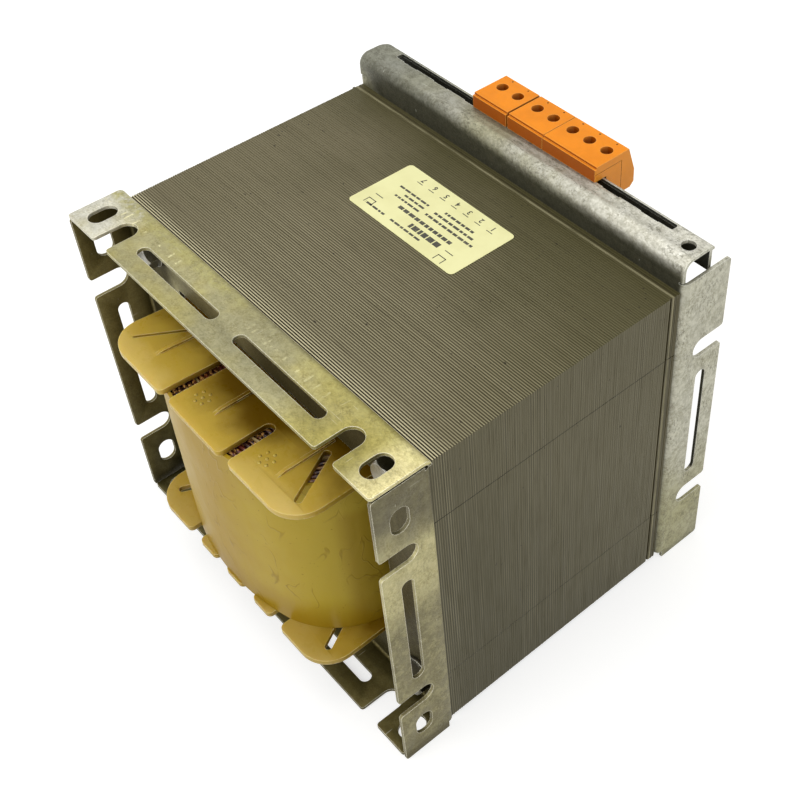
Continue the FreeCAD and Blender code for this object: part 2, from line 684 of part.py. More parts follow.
def bobbin():
    """The moulded bobbin: a tube on the centre leg and two flanges with slots and ribs."""
    inner_x = leg + cell("bobbin_fit")
    inner_y = half_stack + cell("bobbin_fit")
    wall = cell("bobbin_wall")
    tube = box("bobbin_tube", (-inner_x - wall, inner_x + wall), (-inner_y - wall, inner_y + wall),
               (bobbin_low, bobbin_high))
    offset = cell("wire_slot_offset")
    wires = cell("wire_slot_width")
    comb = [(step * cell("comb_slot_pitch") / 2, cell("comb_slot_width"), cell("comb_slot_floor"))
            for step in (-3, -1, 1, 3)]
    upper = bobbin_flange("bobbin_upper", bobbin_high - cell("bobbin_flange"), None,
                          [(-offset, wires, cell("long_wire_slot_floor")),
                           (offset, wires, cell("short_wire_slot_floor"))])
    lower = bobbin_flange("bobbin_lower", bobbin_low, cell("bobbin_droop"), comb)
    ribs = []
    for end, side in SIDE_OF.items():
        for step in (-1, 0, 1):
            place = step * cell("rib_offset")
            ribs.append(bobbin_rib(f"upper_rib_{end}_{step + 1}", place, side, bobbin_high, 1))
    bore = box("bobbin_bore", (-inner_x, inner_x), (-inner_y, inner_y),
               (bobbin_low - 1, bobbin_high + 1))
    return cut("bobbin", fuse("bobbin_blank", [tube, upper, lower] + ribs), [bore])


def coil_outline(inset):
    """The rounded outline of the coil, moved in by a distance."""
    radius = cell("coil_corner").value - inset
    bulge = cell("coil_bulge").value
    corner = cell("coil_corner").value
    corner_x = (2 * leg - cell("coil_side_gap") - corner).value
    crown = (half_stack + cell("coil_reach")).value
    corner_y = crown - corner - bulge
    front = (corner_x ** 2 + 2 * corner * bulge + bulge ** 2) / (2 * bulge)
    centre_y = crown - front
    lean = math.atan2(corner_x, corner_y - centre_y)
    tangent = (corner_x + radius * math.sin(lean), corner_y + radius * math.cos(lean))
    half_turn = (lean + math.pi / 2) / 2
    middle = (corner_x + radius * math.sin(half_turn), corner_y + radius * math.cos(half_turn))
    side = corner_x + radius
    top = crown - inset

    def at(across, along):
        return Vector(across, along, 0)

    edges = []
    for sign in (1, -1):
        edges.append(Part.Arc(at(-sign * tangent[0], sign * tangent[1]), at(0, sign * top),
                              at(sign * tangent[0], sign * tangent[1])).toShape())
        edges.append(Part.Arc(at(sign * tangent[0], sign * tangent[1]), at(sign * middle[0], sign * middle[1]),
                              at(sign * side, sign * corner_y)).toShape())
        edges.append(Part.LineSegment(at(sign * side, sign * corner_y), at(sign * side, -sign * corner_y)).toShape())
        edges.append(Part.Arc(at(sign * side, -sign * corner_y), at(sign * middle[0], -sign * middle[1]),
                              at(sign * tangent[0], -sign * tangent[1])).toShape())
    return Part.Wire(Part.__sortEdges__(edges))


def coil_seat():
    """The space that the lower bobbin flange takes from the coil, with the layer gap above it."""
    far = half_stack + cell("bobbin_overhang") + cell("bobbin_corner")
    slope = cell("bobbin_droop") / cell("bobbin_overhang")
    tip = coil_low - slope * (far - half_stack)
    below = coil_low - leg
    section = [(-far, below), (far, below), (far, tip), (half_stack, coil_low), (-half_stack, coil_low), (-far, tip)]
    points = [Vector((-2 * leg).value, along.value, up.value) for along, up in section]
    wall = Part.Face(Part.makePolygon(points + points[:1]))
    return wall.extrude(Vector((4 * leg).value, 0, 0))


def coil_solid(inset):
    """The filled body of the coil inside an outline, between the bobbin flanges."""
    low = coil_low - cell("bobbin_droop")
    face = Part.Face(coil_outline(inset))
    face.translate(Vector(0, 0, low.value))
    return face.extrude(Vector(0, 0, (coil_high - low).value)).cut(coil_seat())


def coil_layers():
    """The windings, the insulation between them and the outer wrap, each a closed ring."""
    gap = cell("layer_gap").value
    layers = [
        ("coil_outer_wrap", cell("wrap_thickness").value),
        ("secondary_winding", cell("secondary_build").value),
        ("interwinding_insulation", cell("insulation_thickness").value),
    ]
    made = []
    inset = 0.0
    for name, build in layers:
        ring = coil_solid(inset).cut(coil_solid(inset + build))
        made.append(shaped(name, ring))
        inset += build + gap
    half_x = (leg + cell("bobbin_fit") + cell("bobbin_wall") + gap).value
    half_y = (half_stack + cell("bobbin_fit") + cell("bobbin_wall") + gap).value
    tube = Part.makeBox(2 * half_x, 2 * half_y, coil_high.value, Vector(-half_x, -half_y, 0))
    made.append(shaped("primary_winding", coil_solid(inset).cut(tube)))
    return made


def hexagon(name, flats, low, high):
    """A hexagonal prism along Y, with its chamfered rim."""
    radius = flats.value / math.sqrt(3)
    corners = [Vector(radius * math.cos(math.radians(60 * step)), low.value,
                      radius * math.sin(math.radians(60 * step))) for step in range(7)]
    prism = Part.Face(Part.makePolygon(corners)).extrude(Vector(0, (high - low).value, 0))
    chamfer = cell("bolt_chamfer").value
    rim = flats.value / 2
    crown = Part.makeCone(rim + chamfer, rim, chamfer, Vector(0, (high.value - chamfer), 0), Vector(0, 1, 0))
    wide = Part.makeCylinder(2 * rim, (high - low).value - chamfer, Vector(0, low.value, 0), Vector(0, 1, 0))
    return shaped(name, prism.common(wide.fuse(crown)))


def fasteners():
    """Tie bolts, washers, nuts and insulating sleeves at the four corners of the core."""
    seat = half_stack + sheet_metal + cell("washer_thickness")
    nut_end = seat + cell("nut_height")
    shank_end = nut_end + cell("bolt_tail")
    head = hexagon("bolt_head", cell("bolt_head_flats"), as_size(0), cell("bolt_head_height"))
    doc.recompute()
    turned = head.Shape.copy()
    turned.rotate(Vector(), Vector(0, 0, 1), 180)
    turned.translate(Vector(0, -seat.value, 0))
    head.Shape = turned
    shank = cylinder("bolt_shank", "y", cell("bolt_radius"), (0, 0), -seat, shank_end)
    bolt = fuse("bolt", [head, shank])
    nut = cut("nut", hexagon("nut_blank", cell("bolt_head_flats"), as_size(0), cell("nut_height")),
              [cylinder("nut_thread", "y", cell("bolt_radius"), (0, 0), -1, nut_end)])
    washer_body = body_of("washer")
    rings = circle_sketch(washer_body, "XZ_Plane", "washer_outline", [cell("washer_radius"), bolt_hole_radius])
    pad(washer_body, "washer_pad", rings, cell("washer_thickness"), True)
    sleeve_body = body_of("sleeve")
    sleeve_rings = circle_sketch(sleeve_body, "XZ_Plane", "sleeve_outline",
                                 [bolt_hole_radius + cell("sleeve_wall"), bolt_hole_radius])
    pad(sleeve_body, "sleeve_pad", sleeve_rings, cell("stack_depth"), True)
    at_front = -seat
    at_rear = half_stack + sheet_metal
    washers = [(x, y, z) for x, z in bolt_places for y in (at_front, at_rear)]
    return [
        copies("tie_bolts", bolt, [(x, 0, z) for x, z in bolt_places]),
        copies("tie_nuts", nut, [(x, seat, z) for x, z in bolt_places]),
        copies("tie_washers", washer_body, washers),
        copies("bolt_sleeves", sleeve_body, [(x, -half_stack, z) for x, z in bolt_places]),
    ]


def block_profile():
    """The section of a terminal block, as distances behind the core and heights."""
    top = channel_top + cell("block_rise")
    bottom = channel_top - cell("block_drop")
    front = cell("block_front")
    ledge = cell("block_ledge")
    rear = cell("block_rear")
    heel = cell("block_heel")
    straddle = cell("channel_depth") + cell("foot_fit")
    corners = [
        (front, channel_top), (straddle, channel_top), (straddle, bottom), (rear - heel, bottom),
        (rear, bottom + heel), (rear, top - cell("block_slope")), (cell("block_crown_rear"), top),
        (front + ledge, top), (front + ledge, top - ledge), (front, top - ledge),
    ]
    return [(half_stack + depth, height) for depth, height in corners]


def snap_foot(name, x):
    """The barbed foot that holds a block in the window."""
    fit = cell("foot_fit")
    rear = cell("channel_depth") - cell("channel_rear_radius") - fit
    front = cell("channel_depth") - cell("channel_rear_radius") - cell("window_width") + fit
    under = channel_top - sheet_metal - fit
    tip = channel_top - cell("foot_drop")
    body = body_of(name)
    corners = [
        (front, channel_top + fit), (front, under), (front - cell("barb_reach"), under),
        (front, under - cell("barb_height")), (front, tip), (rear, tip), (rear, channel_top + fit),
    ]
    outline = [(half_stack + depth, height) for depth, height in corners]
    sketch = outline_sketch(body, "YZ_Plane", f"{name}_outline", outline)
    pad(body, f"{name}_pad", sketch, cell("cavity_width"))
    bind(body, "Placement.Base.x", x - cell("cavity_width") / 2)
    return body


def terminal_block(name, middle, poles):
    """One moulded terminal block with a screw well, a cavity and two wire entries per pole."""
    pitch = cell("pole_pitch")
    length = poles * pitch + 2 * cell("block_end_wall")
    body = body_of(f"{name}_shell")
    sketch = outline_sketch(body, "YZ_Plane", f"{name}_section", block_profile())
    pad(body, f"{name}_pad", sketch, length)
    bind(body, "Placement.Base.x", middle - length / 2)
    floor = channel_top - cell("block_drop") + cell("cavity_floor")
    roof = floor + cell("cavity_height")
    tools = []
    feet = []
    for pole in range(poles):
        x = middle + (pole - (poles - 1) / 2) * pitch
        tag = f"{name}_{pole}"
        wide = cell("cavity_width") / 2
        entry = cell("entry_width") / 2
        entry_low = floor + cell("clamp_fit") + cell("clamp_wall")
        tools.append(cylinder(f"{tag}_well", "z", cell("well_radius"), (x, half_stack + cell("well_depth")),
                              floor, channel_top + cell("block_rise") + 1))
        tools.append(box(f"{tag}_cavity", (x - wide, x + wide), span(1, cell("cavity_front"), cell("cavity_rear")),
                         (floor, roof)))
        tools.append(box(f"{tag}_entry", (x - entry, x + entry), span(1, cell("cavity_rear") - 1, cell("block_rear") + 1),
                         (entry_low, entry_low + cell("entry_height"))))
        tools.append(cylinder(f"{tag}_lead_hole", "z", cell("lead_radius") + cell("hole_clearance"),
                              (x, half_stack + cell("lead_line_depth")), floor - cell("block_drop"), floor + 1))
        if pole in (0, poles - 1):
            feet.append(snap_foot(f"{tag}_foot", x))
    shell = cut(f"{name}_bored", body, tools)
    return fuse(name, [shell] + feet)


def pole_places():
    """The X of every pole, from the left block to the right one."""
    places = []
    for tag, names in BLOCK_POLES.items():
        poles = len(names)
        middle = cell(f"{tag}_block_x")
        places += [middle + (pole - (poles - 1) / 2) * cell("pole_pitch") for pole in range(poles)]
    return places


def terminal_hardware():
    """A clamp cage and a slotted screw for every pole."""
    fit = cell("clamp_fit")
    floor = channel_top - cell("block_drop") + cell("cavity_floor") + fit
    roof = floor - fit + cell("cavity_height") - fit
    wide = cell("cavity_width") / 2 - fit
    wall = cell("clamp_wall")
    along = span(1, cell("cavity_front") + fit, cell("cavity_rear") - fit)
    through = span(1, cell("cavity_front"), cell("cavity_rear"))
    well = half_stack + cell("well_depth")
    cage = cut("clamp", box("clamp_block", (-wide, wide), along, (floor, roof)), [
        box("clamp_window", (wall - wide, wide - wall), through, (floor + wall, roof - cell("clamp_head"))),
        cylinder("clamp_thread", "z", cell("screw_radius"), (0, well), roof - 2 * cell("clamp_head"), roof + 1),
    ])
    seat = roof + cell("screw_head_lift")
    top = seat + cell("screw_head_height")
    head = cut("screw_head", cylinder("screw_head_disc", "z", cell("screw_head_radius"), (0, well), seat, top), [
        box("screw_slot", (-cell("screw_slot_width") / 2, cell("screw_slot_width") / 2),
            (well - 2 * cell("screw_head_radius"), well + 2 * cell("screw_head_radius")),
            (top - cell("screw_slot_depth"), top + 1)),
    ])
    shank = cylinder("screw_shank", "z", cell("screw_radius"), (0, well),
                     roof - cell("clamp_head") - cell("screw_reach") + 1, seat)
    screw = fuse("screw", [head, shank])
    offsets = [(x, 0, 0) for x in pole_places()]
    return [copies("terminal_clamps", cage, offsets), copies("terminal_screws", screw, offsets)]


def rounded_path(points):
    """Straight runs joined by tangent arcs, each arc as large as its two runs allow."""
    edges = []
    last = points[0]
    radii = []
    for before, corner, after in zip(points, points[1:], points[2:]):
        back = before - corner
        ahead = after - corner
        turn = math.pi - back.getAngle(ahead)
        trim = 0.45 * min(back.Length, ahead.Length)
        radii.append(trim / math.tan(turn / 2))
        start = corner + back.normalize() * trim
        end = corner + ahead.normalize() * trim
        inward = (back + ahead).normalize()
        reach = radii[-1] / math.cos(turn / 2) - radii[-1]
        edges.append(Part.LineSegment(last, start).toShape())
        edges.append(Part.Arc(start, corner + inward * reach, end).toShape())
        last = end
    edges.append(Part.LineSegment(last, points[-1]).toShape())
    return Part.Wire(edges), radii


def winding_leads():
    """Sleeved leads from the coil, through the rear wire slots, up into the terminal blocks."""
    top = channel_top - cell("block_drop") + cell("cavity_floor") + cell("clamp_fit")
    radius = cell("lead_radius").value
    places = pole_places()
    left_count = 3
    made = []
    for index, x in enumerate(places):
        left = index < left_count
        slot_x = -cell("wire_slot_offset") if left else cell("wire_slot_offset")
        order = index if left else index - left_count
        first = cell("short_wire_slot_floor") + 2 * cell("lead_radius")
        base_y = half_stack + first + order * 3.2 * cell("lead_radius")
        foot = coil_high
        straight = cell("lead_straight") + order * cell("lead_stagger")
        end_y = half_stack + cell("lead_line_depth")
        spots = [
            (slot_x, base_y, foot),
            (slot_x, base_y, foot + straight),
            (x, end_y, top - straight),
            (x, end_y, top),
        ]
        points = [Vector(*[value.value for value in spot]) for spot in spots]
        path, radii = rounded_path(points)
        profile = Part.Wire(Part.Circle(points[0], Vector(0, 0, 1), radius).toShape())
        tube = path.makePipeShell([profile], True, False)
        expected = math.pi * radius ** 2 * path.Length
        print(f"lead {index + 1}: radii {[round(value, 1) for value in radii]}, "
              f"volume over section times length {tube.Volume / expected:.4f}")
        made.append(shaped(f"winding_lead_{index + 1}", tube))
    return made


def rating_label():
    """A thin sticker with round corners on top of the core."""
    half_x = cell("label_length") / 2
    half_y = cell("label_width") / 2
    x = cell("label_x")
    y = cell("label_y")
    plate = box("label_plate", (x - half_x, x + half_x), (y - half_y, y + half_y),
                (core_top, core_top + cell("label_thickness")))
    return rounded("rating_label", plate, cell("label_corner"), upright)


def build_all():
    """Every sub-part, in the order in which the transformer is put together."""
    nodes = lamination_packets()
    nodes.append(bobbin())
    nodes += coil_layers()
    nodes += front_frame() + rear_frame()
    nodes += fasteners()
    for tag, names in BLOCK_POLES.items():
        nodes.append(terminal_block(f"terminal_block_{tag}", cell(f"{tag}_block_x"), len(names)))
    nodes += terminal_hardware()
    nodes += winding_leads()
    nodes.append(rating_label())
    return nodes


def check_and_write(nodes):
    """Stop on any failed object or bad shape, then write one file for each sub-part."""
    doc.recompute()
    for item in doc.Objects:
        failed = {"Invalid", "Error"} & set(item.State)
        if failed:
            raise RuntimeError(f"{item.Label} failed: {sorted(failed)}")
    os.makedirs("parts", exist_ok=True)
    for node in nodes:
        node.Label = node.Name
        shape = node.Shape
        if shape.isNull() or not shape.isValid():
            raise RuntimeError(f"{node.Label} has no valid shape")
        print(f"{node.Label}: {len(shape.Solids)} solids, {shape.Volume / 1000:.2f} cm3")
        shape.exportStep(f"parts/{node.Label}.step")


check_and_write(build_all())
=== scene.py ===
"""Looks of a laminated chassis transformer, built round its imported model.

Lengths are written in millimetres and become metres where they meet Blender.
"""

import logging
import math
import random
from collections.abc import Iterator
from contextlib import contextmanager
from dataclasses import dataclass
from enum import Enum
from functools import cache

import bpy
from mathutils import Matrix, Vector


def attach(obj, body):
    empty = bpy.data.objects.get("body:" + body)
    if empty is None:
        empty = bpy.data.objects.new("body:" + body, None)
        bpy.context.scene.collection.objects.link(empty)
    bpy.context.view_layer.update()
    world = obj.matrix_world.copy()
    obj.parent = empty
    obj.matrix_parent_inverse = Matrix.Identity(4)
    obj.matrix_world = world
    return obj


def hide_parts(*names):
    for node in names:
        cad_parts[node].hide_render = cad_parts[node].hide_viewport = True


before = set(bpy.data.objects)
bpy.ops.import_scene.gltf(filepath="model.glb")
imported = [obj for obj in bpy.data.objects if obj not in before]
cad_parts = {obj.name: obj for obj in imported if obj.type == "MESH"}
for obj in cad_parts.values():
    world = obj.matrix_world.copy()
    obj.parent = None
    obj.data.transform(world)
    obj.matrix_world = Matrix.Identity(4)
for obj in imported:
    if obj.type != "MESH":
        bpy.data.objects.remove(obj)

LOG = logging.getLogger("transformer")
MM = 0.001
BODY = "root"
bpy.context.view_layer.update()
MERGE = 2e-6
FLAT = math.radians(0.6)
SHARP = math.radians(32)

Colour = tuple[float, float, float, float]
Point = tuple[float, float, float]


def tint(red: float, green: float, blue: float) -> Colour:
    """Turn a colour as seen on a screen into the linear one that a shader takes.

    Args:
        red: red share, 0 to 255.
        green: green share, 0 to 255.
        blue: blue share, 0 to 255.

    Returns:
        The linear colour with full opacity.
    """
    shares = [part / 255 for part in (red, green, blue)]
    line = [s / 12.92 if s <= 0.04045 else ((s + 0.055) / 1.055) ** 2.4 for s in shares]
    return (line[0], line[1], line[2], 1.0)


class Blend(Enum):
    """How one colour is laid over another."""

    MIX = "MIX"
    DARKEN = "MULTIPLY"


# --------------------------------------------------------------------------
# modelling by operators


def deselect() -> None:
    """Leave edit mode and select nothing."""
    active = bpy.context.view_layer.objects.active
    if active is not None and active.mode != "OBJECT":
        bpy.ops.object.mode_set(mode="OBJECT")
    bpy.ops.object.select_all(action="DESELECT")


def pick(piece: bpy.types.Object) -> None:
    """Select one piece alone and make it active.

    Args:
        piece: the piece to work on.
    """
    deselect()
    piece.select_set(True)
    bpy.context.view_layer.objects.active = piece


def named(piece: bpy.types.Object, name: str) -> bpy.types.Object:
    """Give a piece and its mesh the same name."""
    piece.name = piece.data.name = name
    return piece


def settle(piece: bpy.types.Object, name: str) -> bpy.types.Object:
    """Name a piece and put its place into its mesh.

    Args:
        piece: the piece to settle.
        name: its name.

    Returns:
        The same piece.
    """
    pick(piece)
    bpy.ops.object.transform_apply(location=True, rotation=True, scale=True)
    return named(piece, name)


def block(name: str, low: Point, high: Point) -> bpy.types.Object:
    """Add a block between two corners given in millimetres.

    Args:
        name: name of the piece.
        low: lowest corner.
        high: highest corner.

    Returns:
        The new piece.
    """
    deselect()
    centre = [(a + b) / 2 * MM for a, b in zip(low, high)]
    size = [(b - a) * MM for a, b in zip(low, high)]
    bpy.ops.mesh.primitive_cube_add(size=1, location=centre, scale=size)
    return settle(bpy.context.object, name)


def rod(name: str, centre: Point, radius: float, depth: float, turn: Point = (0, 0, 0),
        corners: int = 24) -> bpy.types.Object:
    """Add a round rod, upright unless it is turned.

    Args:
        name: name of the piece.
        centre: middle of the rod, in millimetres.
        radius: its radius, in millimetres.
        depth: its length, in millimetres.
        turn: rotation in radians about X, Y and Z.
        corners: corners of its circle.

    Returns:
        The new piece.
    """
    deselect()
    bpy.ops.mesh.primitive_cylinder_add(vertices=corners, radius=radius * MM, depth=depth * MM,
                                        location=[c * MM for c in centre], rotation=turn)
    return settle(bpy.context.object, name)


def refine(piece: bpy.types.Object, kind: str, keep: bool = False, **settings: object) -> None:
    """Put a modifier on a piece and apply it.

    Args:
        piece: the piece to change.
        kind: Blender's name of the modifier.
        keep: leave the modifier live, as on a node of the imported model.
        settings: its settings.
    """
    modifier = piece.modifiers.new(kind.lower(), kind)
    for key, value in settings.items():
        setattr(modifier, key, value)
    if not keep:
        pick(piece)
        bpy.ops.object.modifier_apply(modifier=modifier.name)


def soften(piece: bpy.types.Object, width: float, steps: int = 2, keep: bool = False, **settings: object) -> None:
    """Round a piece's sharp edges.

    Args:
        piece: the piece to change.
        width: width of the rounding, in millimetres.
        steps: faces across the rounding.
        keep: leave the modifier live.
        settings: further settings of the modifier.
    """
    refine(piece, "BEVEL", keep, width=width * MM, segments=steps, limit_method="ANGLE", angle_limit=SHARP,
           use_clamp_overlap=True, miter_outer="MITER_ARC", **settings)


def combine(piece: bpy.types.Object, tools: list[bpy.types.Object], operation: str) -> None:
    """Work tools into a piece one by one and remove them.

    Args:
        piece: the piece to change.
        tools: the other pieces.
        operation: Blender's name of the boolean operation.
    """
    for tool in tools:
        refine(piece, "BOOLEAN", operation=operation, solver="EXACT", object=tool)
        bpy.data.objects.remove(tool)


def carve(piece: bpy.types.Object, tools: list[bpy.types.Object]) -> None:
    """Cut tools out of a piece and remove them."""
    combine(piece, tools, "DIFFERENCE")


def copied(piece: bpy.types.Object, name: str, move: Matrix) -> bpy.types.Object:
    """Copy a piece with its own mesh, moved in the mesh.

    Args:
        piece: the model to copy.
        name: name of the copy.
        move: where the copy goes.

    Returns:
        The copy.
    """
    twin = piece.copy()
    twin.data = piece.data.copy()
    twin.name = name
    twin.data.transform(move)
    bpy.context.scene.collection.objects.link(twin)
    return twin


def joined(pieces: list[bpy.types.Object], name: str) -> bpy.types.Object:
    """Join pieces into one.

    Args:
        pieces: the pieces to join.
        name: name of the whole.

    Returns:
        The joined piece.
    """
    deselect()
    for piece in pieces:
        piece.select_set(True)
    bpy.context.view_layer.objects.active = pieces[0]
    bpy.ops.object.join()
    return named(bpy.context.view_layer.objects.active, name)


@contextmanager
def editing(piece: bpy.types.Object) -> Iterator[None]:
    """Open a piece in edit mode, all of it selected, and close it afterwards.

    Args:
        piece: the piece to edit.

    Yields:
        Nothing.
    """
    pick(piece)
    bpy.ops.object.mode_set(mode="EDIT")
    bpy.ops.mesh.select_all(action="SELECT")
    yield
    bpy.ops.object.mode_set(mode="OBJECT")


def merge(piece: bpy.types.Object) -> None:
    """Merge a piece's doubled points and join its flat faces.

    Args:
        piece: the piece to change.
    """
    with editing(piece):
        bpy.ops.mesh.remove_doubles(threshold=MERGE)
        bpy.ops.mesh.dissolve_limited(angle_limit=FLAT)


def node_copy(node: str, name: str) -> bpy.types.Object:
    """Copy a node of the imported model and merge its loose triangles.

    Args:
        node: the node's name.
        name: name of the copy.

    Returns:
        A closed mesh with flat faces joined.
    """
    twin = named(copied(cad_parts[node], name, Matrix.Identity(4)), name)
    twin.parent = None
    for key in list(twin.keys()):
        del twin[key]
    with editing(twin):
        bpy.ops.mesh.customdata_custom_splitnormals_clear()
    merge(twin)
    return twin


def slice_open(direction: Point, places: tuple[float, ...]) -> None:
    """Cut the faces of the piece in edit mode along parallel planes.

    Args:
        direction: the planes' normal.
        places: where the planes stand along it, in millimetres.
    """
    for place in places:
        bpy.ops.mesh.select_all(action="SELECT")
        bpy.ops.mesh.bisect(plane_co=[place * MM * part for part in direction], plane_no=direction)


def sliced(piece: bpy.types.Object, direction: Point, places: tuple[float, ...]) -> None:
    """Cut a piece's faces along parallel planes, so that they can bend.

    Args:
        piece: the piece to cut.
        direction: the planes' normal.
        places: where the planes stand along it, in millimetres.
    """
    with editing(piece):
        slice_open(direction, places)


def smooth(piece: bpy.types.Object, angle: float = 40.0) -> None:
    """Shade a piece smooth over edges flatter than an angle in degrees."""
    pick(piece)
    bpy.ops.object.shade_smooth_by_angle(angle=math.radians(angle))


# --------------------------------------------------------------------------
# shader graphs


class Value:
    """A number, colour or vector of a shader graph, which is reckoned with like a plain one."""

    def __init__(self, graph: "Graph", socket: bpy.types.NodeSocket) -> None:
        """Take the graph and the socket that gives the value."""
        self.graph = graph
        self.socket = socket

    def maths(self, operation: str, *values: object) -> "Value":
        """Work out a number from plain and wired ones."""
        return self.graph.read("ShaderNodeMath", dict(enumerate(values)), operation=operation)

    def __add__(self, other: "float | Value") -> "Value":
        """Add a number."""
        return self.maths("ADD", self, other)

    def __radd__(self, other: float) -> "Value":
        """Add this to a plain number."""
        return self.maths("ADD", other, self)

    def __sub__(self, other: "float | Value") -> "Value":
        """Take a number away."""
        return self.maths("SUBTRACT", self, other)

    def __rsub__(self, other: float) -> "Value":
        """Take this away from a plain number."""
        return self.maths("SUBTRACT", other, self)

    def __mul__(self, other: "float | Value") -> "Value":
        """Multiply by a number."""
        return self.maths("MULTIPLY", self, other)

    def __truediv__(self, other: "float | Value") -> "Value":
        """Divide by a number."""
        return self.maths("DIVIDE", self, other)

    def __abs__(self) -> "Value":
        """Drop the sign."""
        return self.maths("ABSOLUTE", self)

    def floor(self) -> "Value":
        """Round down."""
        return self.maths("FLOOR", self)

    def fract(self) -> "Value":
        """Keep what rounding down drops."""
        return self.maths("FRACT", self)

    def larger(self, other: "float | Value") -> "Value":
        """Take the larger of two numbers."""
        return self.maths("MAXIMUM", self, other)

    def below(self, other: "float | Value") -> "Value":
        """Give 1 where this is less than a number."""
        return self.maths("LESS_THAN", self, other)

    def above(self, other: "float | Value") -> "Value":
        """Give 1 where this is more than a number."""
        return self.maths("GREATER_THAN", self, other)

    def kept(self) -> "Value":
        """Keep the result just worked out between 0 and 1."""
        self.socket.node.use_clamp = True
        return self

    def span(self, low: float, high: float, start: float = 0.0, end: float = 1.0) -> "Value":
        """Map a range of this number smoothly onto another range.

        Args:
            low: where the range begins.
            high: where it ends.
            start: result at its beginning.
            end: result at its end.

        Returns:
            The result.
        """
        feeds = {0: self, 1: low, 2: high, 3: start, 4: end}
        return self.graph.read("ShaderNodeMapRange", feeds, interpolation_type="SMOOTHSTEP")

    def ramp(self, low: float, high: float, start: float = 0.0, end: float = 1.0) -> "Value":
        """Map a stretch between two places, given in millimetres, onto another range."""
        return self.span(low * MM, high * MM, start, end)

    def axes(self) -> tuple["Value", ...]:
        """Split a vector into X, Y and Z."""
        node = self.graph.add("ShaderNodeSeparateXYZ", {0: self})
        return tuple(Value(self.graph, socket) for socket in node.outputs)

    def stretched(self, scale: Point, turn: Point = (0, 0, 0)) -> "Value":
        """Stretch coordinates and turn them by radians."""
        return self.graph.read("ShaderNodeMapping", {"Vector": self, "Scale": scale, "Rotation": turn})

    def noise(self, size: float, detail: float = 2.0, rough: float = 0.5, warp: float = 0.0) -> "Value":
        """Make a cloudy number on these coordinates.

        Args:
            size: size of a patch, in millimetres.
            detail: levels of finer detail.
            rough: strength of the finer detail.
            warp: how much the pattern is distorted.

        Returns:
            The number.
        """
        feeds = {"Vector": self, "Scale": 1 / (size * MM), "Detail": detail, "Roughness": rough, "Distortion": warp}
        return self.graph.read("ShaderNodeTexNoise", feeds)

    def bump(self, depth: float, strength: float = 1.0, under: "Value | None" = None) -> "Value":
        """Turn this height, 0 to 1, into a normal.

        Args:
            depth: its depth, in millimetres.
            strength: share of the effect.
            under: a normal that it adds to.

        Returns:
            The normal.
        """
        feeds = {"Height": self, "Distance": depth * MM, "Strength": strength}
        if under is not None:
            feeds["Normal"] = under
        return self.graph.read("ShaderNodeBump", feeds)

    def under(self, colour: "Colour | Value", share: "float | Value", how: Blend = Blend.MIX) -> "Value":
        """Lay a share of another colour over this one."""
        return self.graph.mix(share, self, colour, how)


class Graph:
    """Adds nodes to one node tree and wires them."""

    def __init__(self, tree: bpy.types.NodeTree) -> None:
        """Take the node tree of a material, a world or a group."""
        self.tree = tree

    def wire(self, socket: bpy.types.NodeSocket, value: object) -> None:
        """Bring a value to a socket.

        Args:
            socket: an input.
            value: a wired value or a plain one.
        """
        if isinstance(value, Value):
            self.tree.links.new(value.socket, socket)
        else:
            socket.default_value = value

    def add(self, kind: str, feeds: dict | None = None, **settings: object) -> bpy.types.Node:
        """Add one node.

        Args:
            kind: Blender's name of the node.
            feeds: what goes into its sockets, by name or number.
            settings: its settings.

        Returns:
            The new node.
        """
        node = self.tree.nodes.new(kind)
        for key, value in settings.items():
            setattr(node, key, value)
        for key, value in (feeds or {}).items():
            self.wire(node.inputs[key], value)
        return node

    def read(self, kind: str, feeds: dict | None = None, output: str | int = 0, **settings: object) -> Value:
        """Add one node and give one of its outputs."""
        return Value(self, self.add(kind, feeds, **settings).outputs[output])

    def mix(self, share: "float | Value", under: "Colour | Value", over: "Colour | Value",
            how: Blend = Blend.MIX) -> Value:
        """Lay a share of one colour over another."""
        return self.read("ShaderNodeMix", {0: share, 6: under, 7: over}, 2, data_type="RGBA", blend_type=how.value)

    def chance(self, cell: Value) -> Value:
        """Give each whole number its own number between 0 and 1."""
        return self.read("ShaderNodeTexWhiteNoise", {"W": cell}, "Value", noise_dimensions="1D")

    def facing(self, axis: int) -> Value:
        """Give one part of the surface's normal: 0 for X, 1 for Y, 2 for Z."""
        return self.read("ShaderNodeNewGeometry", output="Normal").axes()[axis]


def cleared(owner: bpy.types.Material | bpy.types.World) -> bpy.types.NodeTree:
    """Give the emptied node tree of a new material or world.

    Args:
        owner: the material or world.

    Returns:
        Its node tree.
    """
    owner.use_nodes = True
    owner.node_tree.nodes.clear()
    return owner.node_tree


class SharedGroup(Graph):
    """A shader group with named inputs and outputs."""

    def __init__(self, name: str, takes: tuple[str, ...], gives: tuple[str, ...]) -> None:
        """Start the group with its sockets.

        Args:
            name: name of the group.
            takes: its inputs.
            gives: its outputs.
        """
        super().__init__(bpy.data.node_groups.new(name, "ShaderNodeTree"))
        for way, labels in (("INPUT", takes), ("OUTPUT", gives)):
            for label in labels:
                kind = "NodeSocketVector" if label == "Vector" else "NodeSocketFloat"
                self.tree.interface.new_socket(label, in_out=way, socket_type=kind)
        source = self.add("NodeGroupInput")
        self.given = {label: Value(self, source.outputs[label]) for label in takes}

    def give(self, **results: Value) -> bpy.types.NodeTree:
        """Wire the outputs and give the finished group."""
        self.add("NodeGroupOutput", results)
        return self.tree


